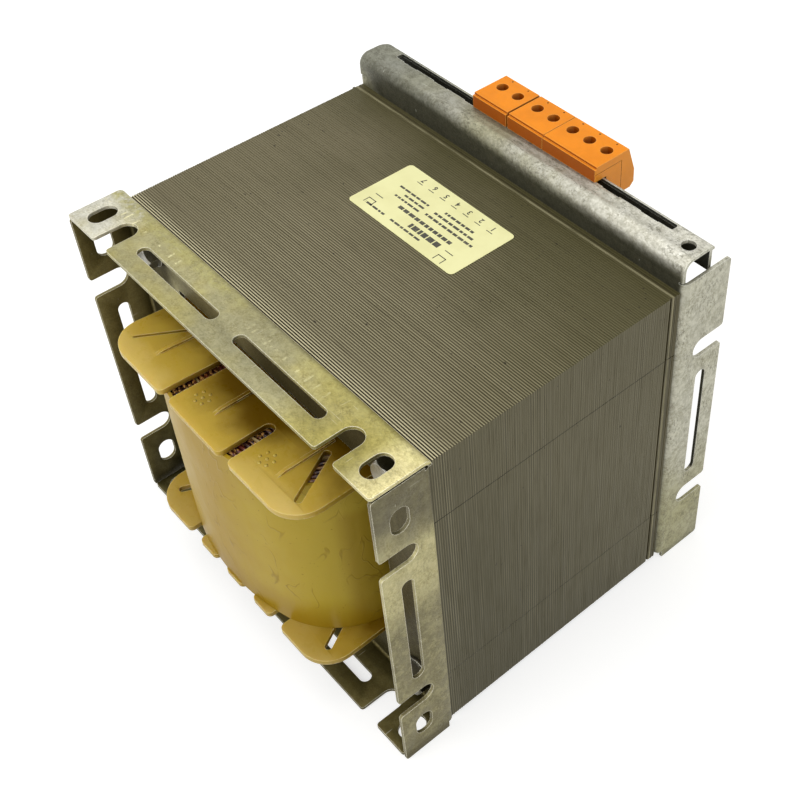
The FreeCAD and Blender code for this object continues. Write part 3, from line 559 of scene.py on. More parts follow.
class Shared:
    """The shader groups that several finishes use, each made once."""

    @staticmethod
    @cache
    def edge_wear_and_highlight() -> bpy.types.NodeTree:
        """Make the group whose mask is 1 on outer edges and 0 on flat faces, for wear and painted highlights.

        Returns:
            The group.
        """
        group = SharedGroup("edge_wear_and_highlight", ("Radius",), ("Mask",))
        bevel = group.read("ShaderNodeBevel", {"Radius": group.given["Radius"]}, samples=4)
        plain = group.read("ShaderNodeNewGeometry", output="Normal")
        dot = group.read("ShaderNodeVectorMath", {0: bevel, 1: plain}, "Value", operation="DOT_PRODUCT")
        return group.give(Mask=dot.span(0.995, 0.86))

    @staticmethod
    @cache
    def pockets() -> bpy.types.NodeTree:
        """Make the group whose mask is 1 deep between pieces and 0 in the open.

        Returns:
            The group.
        """
        group = SharedGroup("pockets", ("Reach",), ("Mask",))
        hidden = group.read("ShaderNodeAmbientOcclusion", {"Distance": group.given["Reach"]}, "AO", samples=6)
        return group.give(Mask=hidden.span(0.9, 0.3))

    @staticmethod
    @cache
    def mottle() -> bpy.types.NodeTree:
        """Make the group of cloudy patches in two sizes, from 0 to 1.

        Returns:
            The group.
        """
        group = SharedGroup("mottle", ("Vector", "Scale"), ("Large", "Fine"))
        where, scale = group.given["Vector"], group.given["Scale"]
        large = group.read("ShaderNodeTexNoise", {"Vector": where, "Scale": scale, "Detail": 4.0, "Roughness": 0.6,
                                                  "Distortion": 0.4})
        fine = group.read("ShaderNodeTexNoise", {"Vector": where, "Scale": scale * 7.0, "Detail": 3.0,
                                                 "Roughness": 0.65})
        return group.give(Large=large.span(0.3, 0.7), Fine=fine.span(0.3, 0.7))

    @staticmethod
    @cache
    def scratches() -> bpy.types.NodeTree:
        """Make the group of short straight scratches in two directions.

        Returns:
            The group.
        """
        group = SharedGroup("scratches", ("Vector", "Share"), ("Mask",))
        where, limit = group.given["Vector"], 0.78 - group.given["Share"]
        masks = []
        for turn, scale, patch in (((0.3, 0.2, 0.5), (40, 900, 300), 9.0), ((0.7, 1.1, 1.9), (900, 60, 400), 13.0)):
            lines = group.read("ShaderNodeTexNoise", {"Vector": where.stretched(scale, turn), "Scale": 1.0,
                                                      "Detail": 1.0})
            hit = group.read("ShaderNodeMapRange", {0: lines, 1: limit, 2: limit + 0.05})
            masks.append(hit * where.noise(patch, 1.0).span(0.45, 0.6))
        return group.give(Mask=masks[0].larger(masks[1]).kept())


class Coat(Graph):
    """A material's graph with its Principled shader and the coordinates that it paints on."""

    def __init__(self, stuff: bpy.types.Material) -> None:
        """Start the graph of a new material.

        Args:
            stuff: the material.
        """
        super().__init__(cleared(stuff))
        self.shader = self.add("ShaderNodeBsdfPrincipled")
        self.where = self.read("ShaderNodeTexCoord", output="Object")
        self.add("ShaderNodeOutputMaterial", {"Surface": Value(self, self.shader.outputs[0])})

    def feed(self, **values: object) -> None:
        """Set or wire sockets of the shader, whose names are written with low lines."""
        for key, value in values.items():
            self.wire(self.shader.inputs[key.replace("_", " ")], value)

    def placed(self, shared: bpy.types.NodeTree, **feeds: object) -> dict[str, Value]:
        """Place a shared group and give its outputs by name."""
        node = self.add("ShaderNodeGroup", feeds, node_tree=shared)
        return {socket.name: Value(self, socket) for socket in node.outputs}

    def worn(self, radius: float) -> Value:
        """Mask the outer edges up to a radius in millimetres, for wear and painted highlights."""
        return self.placed(Shared.edge_wear_and_highlight(), Radius=radius * MM)["Mask"]

    def pocket(self, reach: float) -> Value:
        """Mask what lies deep between pieces, up to a reach in millimetres."""
        return self.placed(Shared.pockets(), Reach=reach * MM)["Mask"]


# --------------------------------------------------------------------------
# finishes


class Finish:
    """A material that is made once and then shared."""

    @cache
    def material(self) -> bpy.types.Material:
        """Make the finish's material.

        Returns:
            The material.
        """
        stuff = bpy.data.materials.new(self.name)
        self.paint(Coat(stuff))
        return stuff

    def paint(self, coat: Coat) -> None:
        """Fill the material's graph; each finish has its own way."""
        raise NotImplementedError


@dataclass(frozen=True)
class PlatedSheet(Finish):
    """Zinc-plated sheet with patches, scratches, painted shade in pockets and worn cut edges painted light."""

    name: str
    face: Colour
    patch: Colour
    stain: Colour
    edge: Colour
    metal: float
    roughness: float
    patch_size: float
    scratch_share: float
    pocket_shade_share: float = 0.6
    painted_pocket_shade: Colour = tint(66, 58, 26)
    pocket_reach: float = 26.0
    fleck_share: float = 0.3
    fleck: Colour = tint(92, 88, 68)
    spangle: Colour = tint(190, 188, 178)

    def tone(self, coat: Coat) -> Value:
        """Spread the plating's own colour in wide patches."""
        spread = coat.where.noise(self.patch_size * 3.5, 2.0)
        return coat.mix(spread.span(0.42, 0.66), self.face, self.patch)

    def paint(self, coat: Coat) -> None:
        """Lay patches, stains, painted shade in pockets, scratches and edges painted light over the plating.

        Args:
            coat: the material's graph.
        """
        where = coat.where
        mottle = coat.placed(Shared.mottle(), Vector=where, Scale=1 / (self.patch_size * MM))
        large, fine = mottle["Large"], mottle["Fine"]
        colour = self.tone(coat).under(self.stain, large * fine * 0.6, Blend.DARKEN)
        # painted shade: the plating darkened where the pockets mask finds pieces close around it
        colour = colour.under(self.painted_pocket_shade, coat.pocket(self.pocket_reach) * self.pocket_shade_share)
        spots = where.stretched((1.0, 2.0, 0.8), (0.5, 0.3, 0.2)).noise(1.7, 2.0, 0.7)
        flecks = spots.span(0.53, 0.61) * where.noise(13.0, 2.0).span(0.4, 0.6)
        colour = colour.under(self.fleck, flecks * self.fleck_share)
        crystals = where.stretched((1.0, 1.0, 0.8)).noise(2.6, 3.0, 0.75).span(0.6, 0.36)
        colour = colour.under(self.spangle, crystals * self.fleck_share, Blend.DARKEN)
        scratch = coat.placed(Shared.scratches(), Vector=where, Share=self.scratch_share)["Mask"]
        colour = colour.under(self.edge, scratch * 0.35)
        # worn cut edges with a painted highlight: the rounded edges laid towards the near-white edge colour
        worn_and_lit_edges = coat.worn(0.5) * fine.span(-0.6, 0.8)
        colour = colour.under(self.edge, worn_and_lit_edges)
        grain = scratch.bump(0.04, 0.6, fine.bump(0.05, 0.5))
        coat.feed(Base_Color=colour, Metallic=self.metal, Normal=grain,
                  Roughness=self.roughness + fine * 0.16 - worn_and_lit_edges * 0.15)


@dataclass(frozen=True)
class FrontPlating(PlatedSheet):
    """The front frame's plating, with the press marks beside its upper bend."""

    marks: Colour = tint(246, 240, 190)
    bright: Colour = tint(216, 214, 200)
    warm: Colour = tint(160, 150, 82)
    dull: Colour = tint(134, 127, 94)
    sheen: Colour = tint(196, 188, 142)
    band: Colour = tint(184, 178, 116)
    scuff: Colour = tint(176, 170, 126)
    corner: Colour = tint(222, 212, 158)
    painted_plate_shade: Colour = tint(60, 52, 24)
    cool: Colour = tint(146, 142, 112)
    shade: Colour = tint(92, 86, 66)
    olive: Colour = tint(104, 92, 34)

    def top(self, coat: Coat, across: Value, along: Value, place: Value) -> Value:
        """Run the upper flange's passivation from white over grey and olive to yellow.

        Args:
            coat: the material's graph.
            across: place across the frame.
            along: place along the stack.
            place: place across the frame, drawn in clouds.

        Returns:
            The colour.
        """
        colour = super().tone(coat).under(self.bright, place.ramp(-62, -96))
        colour = colour.under(self.warm, place.ramp(30, 74))
        colour = colour.under(self.corner, across.ramp(80, 92, 0.0, 0.9))
        blots = coat.where.noise(2.6, 3.0, 0.7)
        bend = along.ramp(-68.5, -64) * blots.span(0.3, 0.62, 0.1, 0.9) * across.ramp(-20, 10, 1.0, 0.4)
        colour = colour.under(self.band, bend)
        return colour.under(self.cool, abs(place - 12 * MM).ramp(34, 12, 0.0, 0.6))

    def tone(self, coat: Coat) -> Value:
        """Set the sides with painted sheen and shade, and the ring plate in painted shade, against the upper flange.

        Args:
            coat: the material's graph.

        Returns:
            The colour.
        """
        across, along, up = coat.where.axes()
        cloud = (coat.where.noise(24.0, 3.0, 0.6) - 0.5) * (70 * MM)
        height = up + cloud * 0.35
        # painted sheen: the side flanges lighter in a band round 117 mm high
        side = coat.mix(abs(height - 117 * MM).ramp(32, 10), self.dull, self.sheen)
        side = side.under(self.scuff, coat.where.noise(4.2, 4.0, 0.75).span(0.44, 0.62, 0.0, 0.45))
        side = side.under(self.shade, height.ramp(128, 150) * across.ramp(90, 95) * 0.62)
        # painted shade: the left flange and the lower flange laid towards dark olive
        side = side.under(self.olive, across.ramp(-80, -94).larger(up.ramp(6, 3)) * 0.75)
        # painted shade: the ring plate's front face laid dark at its outer ends and on its right half
        plate = along.ramp(-64.5, -63) * coat.facing(1).span(-0.5, -0.9)
        outer = abs(across).ramp(66, 76, 0.15, 0.9).larger(across.ramp(-24, 0, 0.0, 0.85))
        side = side.under(self.painted_plate_shade, plate * outer)
        return side.under(self.top(coat, across, along, across + cloud), up.ramp(163.8, 164.3))

    def paint(self, coat: Coat) -> None:
        """Add the fine dashes of the folding tool to the plating.

        Args:
            coat: the material's graph.
        """
        super().paint(coat)
        across, along, up = coat.where.axes()
        step = (across + coat.where.noise(6.0, 2.0) * (1.2 * MM)) / (2.7 * MM)
        chance = coat.chance(step.floor())
        thin = abs(step.fract() - 0.5).span(0.2, 0.12)
        centre = along + (69.6 * MM + chance * (-1.6 * MM))
        inside = abs(centre).below(chance.span(0.35, 1.0, -0.4 * MM, 2.2 * MM))
        right = across.ramp(2, 10) * across.ramp(58, 50)
        zone = across.below(-41 * MM).larger(right * 0.45)
        mask = thin * inside * (up.above(164 * MM) * zone)
        worn = coat.where.noise(1.6, 2.0, 0.6).span(0.35, 0.6, 0.05, 0.5)
        plain = Value(coat, coat.shader.inputs["Base Color"].links[0].from_socket)
        coat.feed(Base_Color=plain.under(self.marks, mask * worn))


@dataclass(frozen=True)
class ChannelPlating(PlatedSheet):
    """The rear frame's plating, with painted shade and dark reflection on the wall that looks over the core."""

    wall: Colour = tint(80, 79, 64)
    bright: Colour = tint(206, 204, 186)
    olive: Colour = tint(172, 168, 128)
    pale: Colour = tint(212, 210, 198)
    aged: Colour = tint(138, 139, 126)
    inside: Colour = tint(40, 42, 36)

    def tone(self, coat: Coat) -> Value:
        """Paint shade on the wall over the core and in the channel, light on the right face; lighten the top to the
        right.

        Args:
            coat: the material's graph.

        Returns:
            The colour.
        """
        across, along, up = coat.where.axes()
        cloud = (coat.where.noise(18.0, 3.0, 0.6) - 0.5) * (60 * MM)
        place = across + cloud
        colour = super().tone(coat).under(self.pale, place.ramp(0, 90) * up.ramp(168, 172))
        colour = colour.under(self.aged, place.ramp(-10, -80) * up.ramp(166, 172) * 0.85)
        # painted shade and dark reflection: the channel's wall over the core laid dark, most towards its foot
        height = up + (coat.where.noise(3.0, 3.0, 0.7) - 0.5) * (5 * MM)
        edge = height + across.ramp(-78, -97) * (-9 * MM)
        height = height - across.ramp(30, -60, -1 * MM, 2.6 * MM)
        low = height.ramp(176.2, 168.5) * across.ramp(-97, -84, 0.25, 1.0)
        over = along.ramp(64, 62) * edge.ramp(150, 163)
        colour = colour.under(self.wall, over * low)
        # painted light: the right face lightened at the top, running to olive towards the foot
        foot = (up + cloud * 0.5).ramp(80, 30)
        colour = colour.under(coat.mix(foot, self.bright, self.olive), across.ramp(95, 97, 0.0, 0.8))
        # painted shade: the inner face of the channel's rear wall laid nearly black
        inner = along.ramp(73, 74.5) * coat.facing(1).span(-0.4, -0.8)
        return colour.under(self.inside, inner * 0.9)


@dataclass(frozen=True)
class SheetStack(Finish):
    """Varnished edges of the core's sheets, each sheet with its own tone."""

    name: str
    top: Colour
    far: Colour
    side: Colour
    foot: Colour
    bare: Colour
    gap: Colour
    speck: Colour = tint(36, 30, 18)
    pitch: float = 120 / 224
    half_depth: float = 60.0
    joints: tuple[float, float] = (34.0, 130.0)
    raised_sheet: float = 56.6
    sunken_sheet: float = 57.9

    def contrast(self, coat: Coat, level: Value) -> Value:
        """Say how strongly the sheets' painted light and shade stand out: most at the front, in groups on the sides.

        Args:
            coat: the material's graph.
            level: 1 on faces that look up or down.

        Returns:
            The strength.
        """
        across, along, _ = coat.where.axes()
        near = along.ramp(-50, -58)
        upper = along.ramp(54, -46, 0.09, 0.58) + near * 0.4
        upper = upper * near.larger(across.ramp(-96, -10, 0.25, 1.0))
        groups = coat.where.stretched((0.02, 1.0, 0.05)).noise(4.5, 2.0, 0.6)
        side = groups.span(0.48, 0.64, 0.1, 0.42) + near * 0.16
        return side + (upper - side) * level

    def lines(self, axes: tuple[Value, ...], colour: Value, blots: Value, level: Value) -> Value:
        """Draw the two odd sheets near the channel in painted light and shade, and the joints between E and I sheets.

        Args:
            axes: the place along X, Y and Z.
            colour: the steel so far.
            blots: drawn-out patches that break the lines up.
            level: 1 on faces that look up or down.

        Returns:
            The colour with its lines.
        """
        _, along, up = axes
        uneven = blots.span(0.32, 0.6, 0.15, 0.55)
        # painted shade: the sunken sheet laid dark
        sunken = abs(along - self.sunken_sheet * MM).ramp(0.6, 0.25)
        colour = colour.under(self.gap, sunken * uneven)
        # painted highlight on bare steel: the raised sheet laid light
        raised = abs(along - self.raised_sheet * MM).ramp(0.75, 0.3)
        colour = colour.under(self.bare, raised * (uneven * 0.6))
        seam = sum(abs(up - joint * MM).ramp(0.34, 0.12) for joint in self.joints)
        return colour.under(self.gap, seam * blots.span(0.2, 0.5, 0.35, 0.95) * (1.0 - level))

    def paint(self, coat: Coat) -> None:
        """Lay tones per sheet, painted light and shade on the sheet edges, stains and specks over the steel.

        Args:
            coat: the material's graph.
        """
        where = coat.where
        across, along, up = where.axes()
        place = (along + self.half_depth * MM) / (self.pitch * MM)
        ridge = abs((place * 0.5).fract() - 0.75).span(0.29, 0.17)
        level = abs(coat.facing(2)).span(0.4, 0.6)
        drift = (where.noise(40.0, 3.0, 0.55) - 0.5) * (90 * MM)
        # painted shade: the top runs darker towards the rear right, by the channel
        upper = coat.mix((along + across * 0.42 + drift).ramp(-46, 62), self.top, self.far)
        # painted shade: the sides are laid a little darker than the top, and darker towards the bottom front
        flank = coat.mix((up + along + drift).ramp(-20, 150), self.foot, self.side)
        strong = self.contrast(coat, level) * coat.chance(place.floor()).span(0.0, 1.0, 0.8, 1.1)
        # the top takes the upper colour; painted shade with dark varnish lays the sunken sheets towards the gap colour
        colour = flank.under(upper, level).under(self.gap, ((1.0 - ridge) * strong).kept())
        # bare steel with a painted highlight: the raised sheets laid light, most at the front
        shine = along.ramp(-48, -58, 0.5, 0.95) * (0.5 + level * 0.5)
        colour = colour.under(self.bare, (ridge * strong * shine).kept())
        blots = where.stretched((0.16, 1.6, 0.16)).noise(3.2, 2.0, 0.6)
        colour = colour.under(self.gap, blots.span(0.5, 0.74, 0.0, 0.16))
        colour = self.lines((across, along, up), colour, blots, level)
        specks = where.stretched((0.5, 1.0, 0.5)).noise(1.3, 1.0)
        dark = specks.span(0.71, 0.76) * where.noise(12.0, 1.0).span(0.52, 0.62)
        coat.feed(Base_Color=colour.under(self.speck, dark * 0.8), Metallic=0.25, Roughness=0.42 + blots * 0.2,
                  Normal=where.noise(0.6, 2.0).bump(0.05, 0.3), Specular_IOR_Level=0.3)


@dataclass(frozen=True)
class MouldedPlastic(Finish):
    """Moulded plastic that may let some light in."""

    name: str
    face: Colour
    deep: Colour
    pale: Colour
    roughness: float
    glow: float
    gloss: float

    def paint(self, coat: Coat) -> None:
        """Lay flow marks, painted shade on front faces and in recesses, and painted light on right faces and edges.

        Args:
            coat: the material's graph.
        """
        mottle = coat.placed(Shared.mottle(), Vector=coat.where, Scale=90.0)
        # painted shade: faces that look to the front, and recesses, laid towards the deep colour
        front = 0.1 + coat.facing(1).span(-0.2, -0.8) * 0.85
        depth = (front.larger(coat.pocket(5) * 0.9) + mottle["Large"] * 0.15).kept()
        colour = coat.mix(depth, self.face, self.deep)
        # painted light: faces that look to the right, and the edges, laid towards the pale colour
        colour = colour.under(self.pale, coat.facing(0).span(0.4, 0.8, 0.0, 0.28))
        colour = colour.under(self.pale, coat.worn(0.6) * 0.6)
        coat.feed(Base_Color=colour, Roughness=self.roughness + mottle["Fine"] * 0.12,
                  Normal=coat.where.noise(0.9, 2.0).bump(0.03, 0.3), Subsurface_Weight=self.glow,
                  Subsurface_Radius=(1.0, 0.6, 0.25), Subsurface_Scale=2.5 * MM, Coat_Weight=self.gloss,
                  Coat_Roughness=0.18, Specular_IOR_Level=0.15)


@dataclass(frozen=True)
class AmberNylon(Finish):
    """The bobbin's amber nylon: clear and pale at its free edge, in painted brown shade near the core."""

    name: str
    rim: Colour
    face: Colour
    deep: Colour
    glint: Colour

    def paint(self, coat: Coat) -> None:
        """Run the amber from pale to a deep painted shade towards the core, with painted glints on the edges.

        Args:
            coat: the material's graph.
        """
        where = coat.where
        across, along, up = where.axes()
        place = abs(along) + (where.noise(22.0, 3.0, 0.6) - 0.5) * (24 * MM)
        place = place - abs(across - 2 * MM).ramp(32, 14, -4 * MM, 8 * MM)
        # painted shade: the deep colour near the core and the frame and in pockets; also darker towards the bottom
        colour = coat.mix(place.ramp(86, 66), self.face, self.deep)
        colour = colour.under(self.deep, coat.pocket(9) * 0.25)
        colour = colour.under(self.rim, place.ramp(88, 97) * 0.75)
        colour = colour.under(self.deep, up.ramp(70, 45, 0.0, 0.3))
        blots = where.noise(4.0, 3.0, 0.65)
        colour = colour.under(self.glint, coat.worn(0.6) * blots.span(0.36, 0.56, 0.25, 1.0))
        coat.feed(Base_Color=colour, Roughness=blots.span(0.3, 0.7, 0.24, 0.42),
                  Normal=where.noise(3.5, 3.0, 0.6).bump(0.25, 0.35), Subsurface_Weight=0.3,
                  Subsurface_Radius=(1.0, 0.6, 0.12), Subsurface_Scale=3.0 * MM, Coat_Weight=0.07,
                  Coat_Roughness=0.15, Specular_IOR_Level=0.14)


@dataclass(frozen=True)
class VarnishedWrap(Finish):
    """The coil's outer wrap: ochre film with creases, darker towards the bottom, with a painted shadow at the right."""

    name: str
    left: Colour
    middle: Colour
    right: Colour
    foot: Colour
    crease: Colour

    def paint(self, coat: Coat) -> None:
        """Run the ochre from left to right, darken it low down, paint a shadow at the right and draw creases on it.

        Args:
            coat: the material's graph.
        """
        where = coat.where
        across, _, up = where.axes()
        cloud = where.noise(30.0, 3.0, 0.55)
        drift = across + (cloud - 0.5) * (40 * MM)
        colour = coat.mix(drift.ramp(-55, 5), self.left, self.middle).under(self.right, drift.ramp(0, 50))
        colour = colour.under(self.foot, (up + cloud * (14 * MM)).ramp(66, 40) * 0.7)
        # painted shadow: a darker band at the right, where the front frame's right flange shades the wrap
        colour = colour.under(self.foot, across.ramp(53, 57) * up.ramp(112, 104) * 0.4)
        folds = where.stretched((1.0, 1.0, 0.6)).noise(15.0, 2.5, 0.5, 0.5)
        crease = abs(folds - 0.5).span(0.014, 0.0) * where.noise(18.0, 2.0).span(0.46, 0.6)
        lower = up.ramp(120, 50, 0.1, 0.34) + across.ramp(0, 50, 0.0, 0.12)
        colour = colour.under(self.crease, (crease * lower).kept())
        colour = colour.under(self.crease, where.noise(1.2, 1.0).span(0.72, 0.78) * 0.5)
        coat.feed(Base_Color=colour, Roughness=0.3 + cloud * 0.2,
                  Normal=crease.bump(0.15, 0.6, folds.bump(0.9, 0.5)), Subsurface_Weight=0.12,
                  Subsurface_Radius=(1.0, 0.6, 0.2), Subsurface_Scale=2.0 * MM, Coat_Weight=0.05,
                  Coat_Roughness=0.22, Specular_IOR_Level=0.1)


@dataclass(frozen=True)
class VarnishedCopper(Finish):
    """Enamelled wire, maroon, with amber varnish on it in drops."""

    name: str
    enamel: Colour
    dark: Colour
    varnish: Colour

    def paint(self, coat: Coat) -> None:
        """Let the enamel show between patches of varnish.

        Args:
            coat: the material's graph.
        """
        drops = coat.where.stretched((1.0, 1.0, 1.0), (0, 0, 0.6)).noise(2.4, 2.0, 0.6, 1.2)
        colour = coat.mix(coat.where.noise(5.0, 2.0).span(0.4, 0.6), self.enamel, self.dark)
        coat.feed(Base_Color=colour.under(self.varnish, drops.span(0.5, 0.58)), Metallic=0.15, Coat_Weight=0.6,
                  Coat_Roughness=0.15, Roughness=drops.span(0.4, 0.6, 0.28, 0.45), Normal=drops.bump(0.2, 0.5))


@dataclass(frozen=True)
class PrintedFilm(Finish):
    """The label's film, with a faint yellowing."""

    name: str
    face: Colour
    aged: Colour

    def paint(self, coat: Coat) -> None:
        """Age the film in patches.

        Args:
            coat: the material's graph.
        """
        cloud = coat.where.noise(18.0, 3.0, 0.6)
        coat.feed(Base_Color=coat.mix(cloud.span(0.35, 0.7), self.face, self.aged),
                  Roughness=0.42 + cloud * 0.15, Normal=cloud.bump(0.2, 0.3))


@dataclass(frozen=True)
class FlatInk(Finish):
    """Printing ink, slightly uneven."""

    name: str
    face: Colour
    worn: Colour

    def paint(self, coat: Coat) -> None:
        """Wear the ink in fine patches.

        Args:
            coat: the material's graph.
        """
        cloud = coat.where.noise(1.1, 3.0, 0.7)
        coat.feed(Base_Color=coat.mix(cloud.span(0.5, 0.75), self.face, self.worn),
                  Roughness=cloud.span(0.3, 0.7, 0.45, 0.6))


FRONT_PLATING = FrontPlating(
    "passivated_front", face=tint(170, 164, 122), patch=tint(174, 165, 106), stain=tint(196, 188, 150),
    edge=tint(238, 234, 214), metal=0.6, roughness=0.46, patch_size=5.0, scratch_share=0.03, pocket_shade_share=0.85,
    painted_pocket_shade=tint(58, 52, 12), fleck=tint(112, 106, 70))
REAR_PLATING = ChannelPlating(
    "galvanised_rear", face=tint(186, 184, 170), patch=tint(170, 167, 140), stain=tint(186, 182, 162),
    edge=tint(226, 226, 216), metal=0.6, roughness=0.5, patch_size=6.0, scratch_share=0.02, pocket_shade_share=0.5,
    painted_pocket_shade=tint(46, 46, 36), pocket_reach=9.0, fleck_share=0.5, fleck=tint(86, 82, 64))
ZINC = PlatedSheet(
    "bright_zinc", face=tint(188, 186, 178), patch=tint(176, 172, 150), stain=tint(170, 166, 150),
    edge=tint(230, 230, 226), metal=0.9, roughness=0.3, patch_size=2.4, scratch_share=0.04, pocket_shade_share=0.9,
    painted_pocket_shade=tint(52, 48, 30))
CORE_STEEL = SheetStack(
    "varnished_steel_edges", top=tint(111, 103, 76), far=tint(76, 71, 38), side=tint(100, 94, 68),
    foot=tint(76, 71, 44), bare=tint(210, 201, 162), gap=tint(42, 36, 14))
BOBBIN_NYLON = AmberNylon(
    "amber_bobbin_nylon", rim=tint(216, 188, 100), face=tint(202, 170, 66), deep=tint(112, 82, 2),
    glint=tint(240, 222, 160))
WRAP_FILM = VarnishedWrap(
    "varnished_wrap_film", left=tint(188, 160, 70), middle=tint(172, 139, 26), right=tint(192, 167, 58),
    foot=tint(146, 111, 2), crease=tint(116, 86, 8))
ENAMEL = VarnishedCopper("maroon_enamel_wire", tint(92, 26, 14), tint(44, 16, 18), tint(188, 140, 70))
PAPER = PrintedFilm("winding_paper", tint(184, 160, 110), tint(150, 124, 74))
ORANGE = MouldedPlastic("orange_terminal_plastic", tint(255, 152, 22), tint(164, 80, 2), tint(255, 184, 92),
                        roughness=0.36, glow=0.05, gloss=0.1)
SLEEVE = MouldedPlastic("black_bolt_sleeve", tint(40, 38, 34), tint(24, 22, 20), tint(70, 68, 62),
                        roughness=0.4, glow=0.0, gloss=0.1)
LEAD = MouldedPlastic("maroon_lead_sleeving", tint(98, 30, 24), tint(60, 18, 16), tint(150, 70, 56),
                      roughness=0.3, glow=0.0, gloss=0.4)
LABEL_FILM = PrintedFilm("cream_label_film", tint(240, 237, 176), tint(230, 226, 164))
INK = FlatInk("label_ink", tint(58, 56, 44), tint(120, 116, 92))


# --------------------------------------------------------------------------
# pieces


def dress(piece: bpy.types.Object, finish: Finish) -> None:
    """Give a piece one finish all over.

    Args:
        piece: the piece.
        finish: its finish.
    """
    stuff = finish.material()
    if not piece.data.materials:
        piece.data.materials.append(stuff)
    for spot in piece.material_slots:
        spot.material = stuff


def hand_over(piece: bpy.types.Object, finish: Finish, nodes: tuple[str, ...] = ()) -> None:
    """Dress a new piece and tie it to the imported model.

    Args:
        piece: the piece.
        finish: its finish.
        nodes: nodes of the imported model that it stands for.
    """
    piece.data.materials.clear()
    dress(piece, finish)
    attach(piece, BODY)
    if nodes:
        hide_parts(*nodes)
    LOG.info("%s: %d faces", piece.name, len(piece.data.polygons))


@dataclass
class PackedPart:
    """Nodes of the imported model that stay, with finer edges and a finish."""

    nodes: tuple[str, ...]
    finish: Finish
    edge: float = 0.0
    steps: int = 2

    def build(self) -> None:
        """Round the edges with live modifiers and dress the nodes."""
        for node in self.nodes:
            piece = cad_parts[node]
            dress(piece, self.finish)
            if self.edge:
                refine(piece, "WELD", True, merge_threshold=MERGE)
                refine(piece, "DECIMATE", True, decimate_type="DISSOLVE", angle_limit=FLAT)
                soften(piece, self.edge, self.steps, True, harden_normals=True)
            LOG.info("%s keeps its packed shape", node)


@dataclass
class RoundedCorner:
    """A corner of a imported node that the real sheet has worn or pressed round."""

    node: str
    corner: tuple[float, float]
    radius: float
    low: float
    high: float

    def cutter(self) -> bpy.types.Object:
        """Make the tool that leaves a round where the corner was.

        Returns:
            The tool.
        """
        x, y = self.corner
        out_x, out_y = math.copysign(1, x), math.copysign(1, y)
        inner = (x - out_x * self.radius, y - out_y * self.radius)
        outer = (x + out_x, y + out_y)
        tool = block("corner_tool", (*map(min, inner, outer), self.low), (*map(max, inner, outer), self.high))
        centre = (*inner, (self.low + self.high) / 2)
        carve(tool, [rod("corner_round", centre, self.radius, self.high - self.low + 2, corners=48)])
        return tool


@dataclass
class FoldedFrame:
    """One frame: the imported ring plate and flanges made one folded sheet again."""

    name: str
    nodes: tuple[str, ...]
    finish: Finish
    material_slot: str
    rounded: tuple[RoundedCorner, ...] = ()
    edge: float = 0.2

    def build(self) -> None:
        """Join copies of the nodes and break all sharp edges."""
        copies = {node: node_copy(node, f"{node}_copy") for node in self.nodes}
        for corner in self.rounded:
            carve(copies[corner.node], [corner.cutter()])
        sheet, *flanges = copies.values()
        combine(sheet, flanges, "UNION")
        merge(sheet)
        soften(sheet, self.edge)
        smooth(sheet)
        hand_over(named(sheet, self.name), self.finish, self.nodes)


@dataclass(frozen=True)
class FlangeLift:
    """How far the coil's front end has pushed the bobbin's upper flange up."""

    rise: float = 2.2
    starts: float = 62.0
    depth: float = 34.0
    right_end: float = 14.0
    width: float = 56.0

    def at(self, across: float, along: float) -> float:
        """Say how high the flange has risen.

        Args:
            across: place across the coil, in millimetres.
            along: place along the stack, in millimetres.

        Returns:
            The rise in millimetres.
        """
        out = min(max((-along - self.starts) / self.depth, 0), 1)
        aside = min(max((self.right_end - across) / self.width, 0), 1)
        return self.rise * out * out * (3 - 2 * out) * aside * aside * (3 - 2 * aside)

    def bend(self, piece: bpy.types.Object, above: float) -> None:
        """Raise what lies under or in the lifted flange.

        Args:
            piece: the piece to change.
            above: height over which points rise, in millimetres.
        """
        for point in piece.data.vertices:
            if point.co.z > above * MM:
                point.co.z += self.at(point.co.x / MM, point.co.y / MM) * MM


LIFT = FlangeLift()


@dataclass
class Bobbin:
    """The moulded bobbin, whose upper flange the coil has pushed up at its front left."""

    edge: float = 0.35
    upper: float = 120.0
    cuts_along: tuple[float, ...] = (-94, -90, -86, -82, -78, -74, -70, -66, -62)
    cuts_across: tuple[float, ...] = (-52, -40, -28, -20, -12, -4, 4, 12)
    slot_inner: tuple[float, float] = (-44.5, -68.0)
    slot_outer: tuple[float, float] = (-55.0, -88.0)
    slot_reach: float = 2.6
    slot_left_open: float = 0.4

    def pinch(self, body: bpy.types.Object) -> None:
        """Press the diagonal slot at the front left nearly shut, as the lifted flange does.

        Args:
            body: the bobbin.
        """
        start, end = Vector(self.slot_inner), Vector(self.slot_outer)
        along = (end - start).normalized()
        aside = Vector((-along.y, along.x))
        for point in body.data.vertices:
            place = Vector((point.co.x / MM, point.co.y / MM)) - start
            run, off = place.dot(along), place.dot(aside)
            inside = -self.slot_reach < run < (end - start).length + self.slot_reach
            if point.co.z > self.upper * MM and inside and abs(off) < self.slot_reach:
                shift = aside * off * (self.slot_left_open - 1)
                point.co.x += shift.x * MM
                point.co.y += shift.y * MM

    def build(self) -> None:
        """Round the moulded edges, then bend the upper flange."""
        body = node_copy("bobbin", "moulded_bobbin")
        soften(body, self.edge)
        sliced(body, (0, 1, 0), self.cuts_along)
        sliced(body, (1, 0, 0), self.cuts_across)
        self.pinch(body)
        LIFT.bend(body, self.upper)
        smooth(body)
        hand_over(body, BOBBIN_NYLON, ("bobbin",))


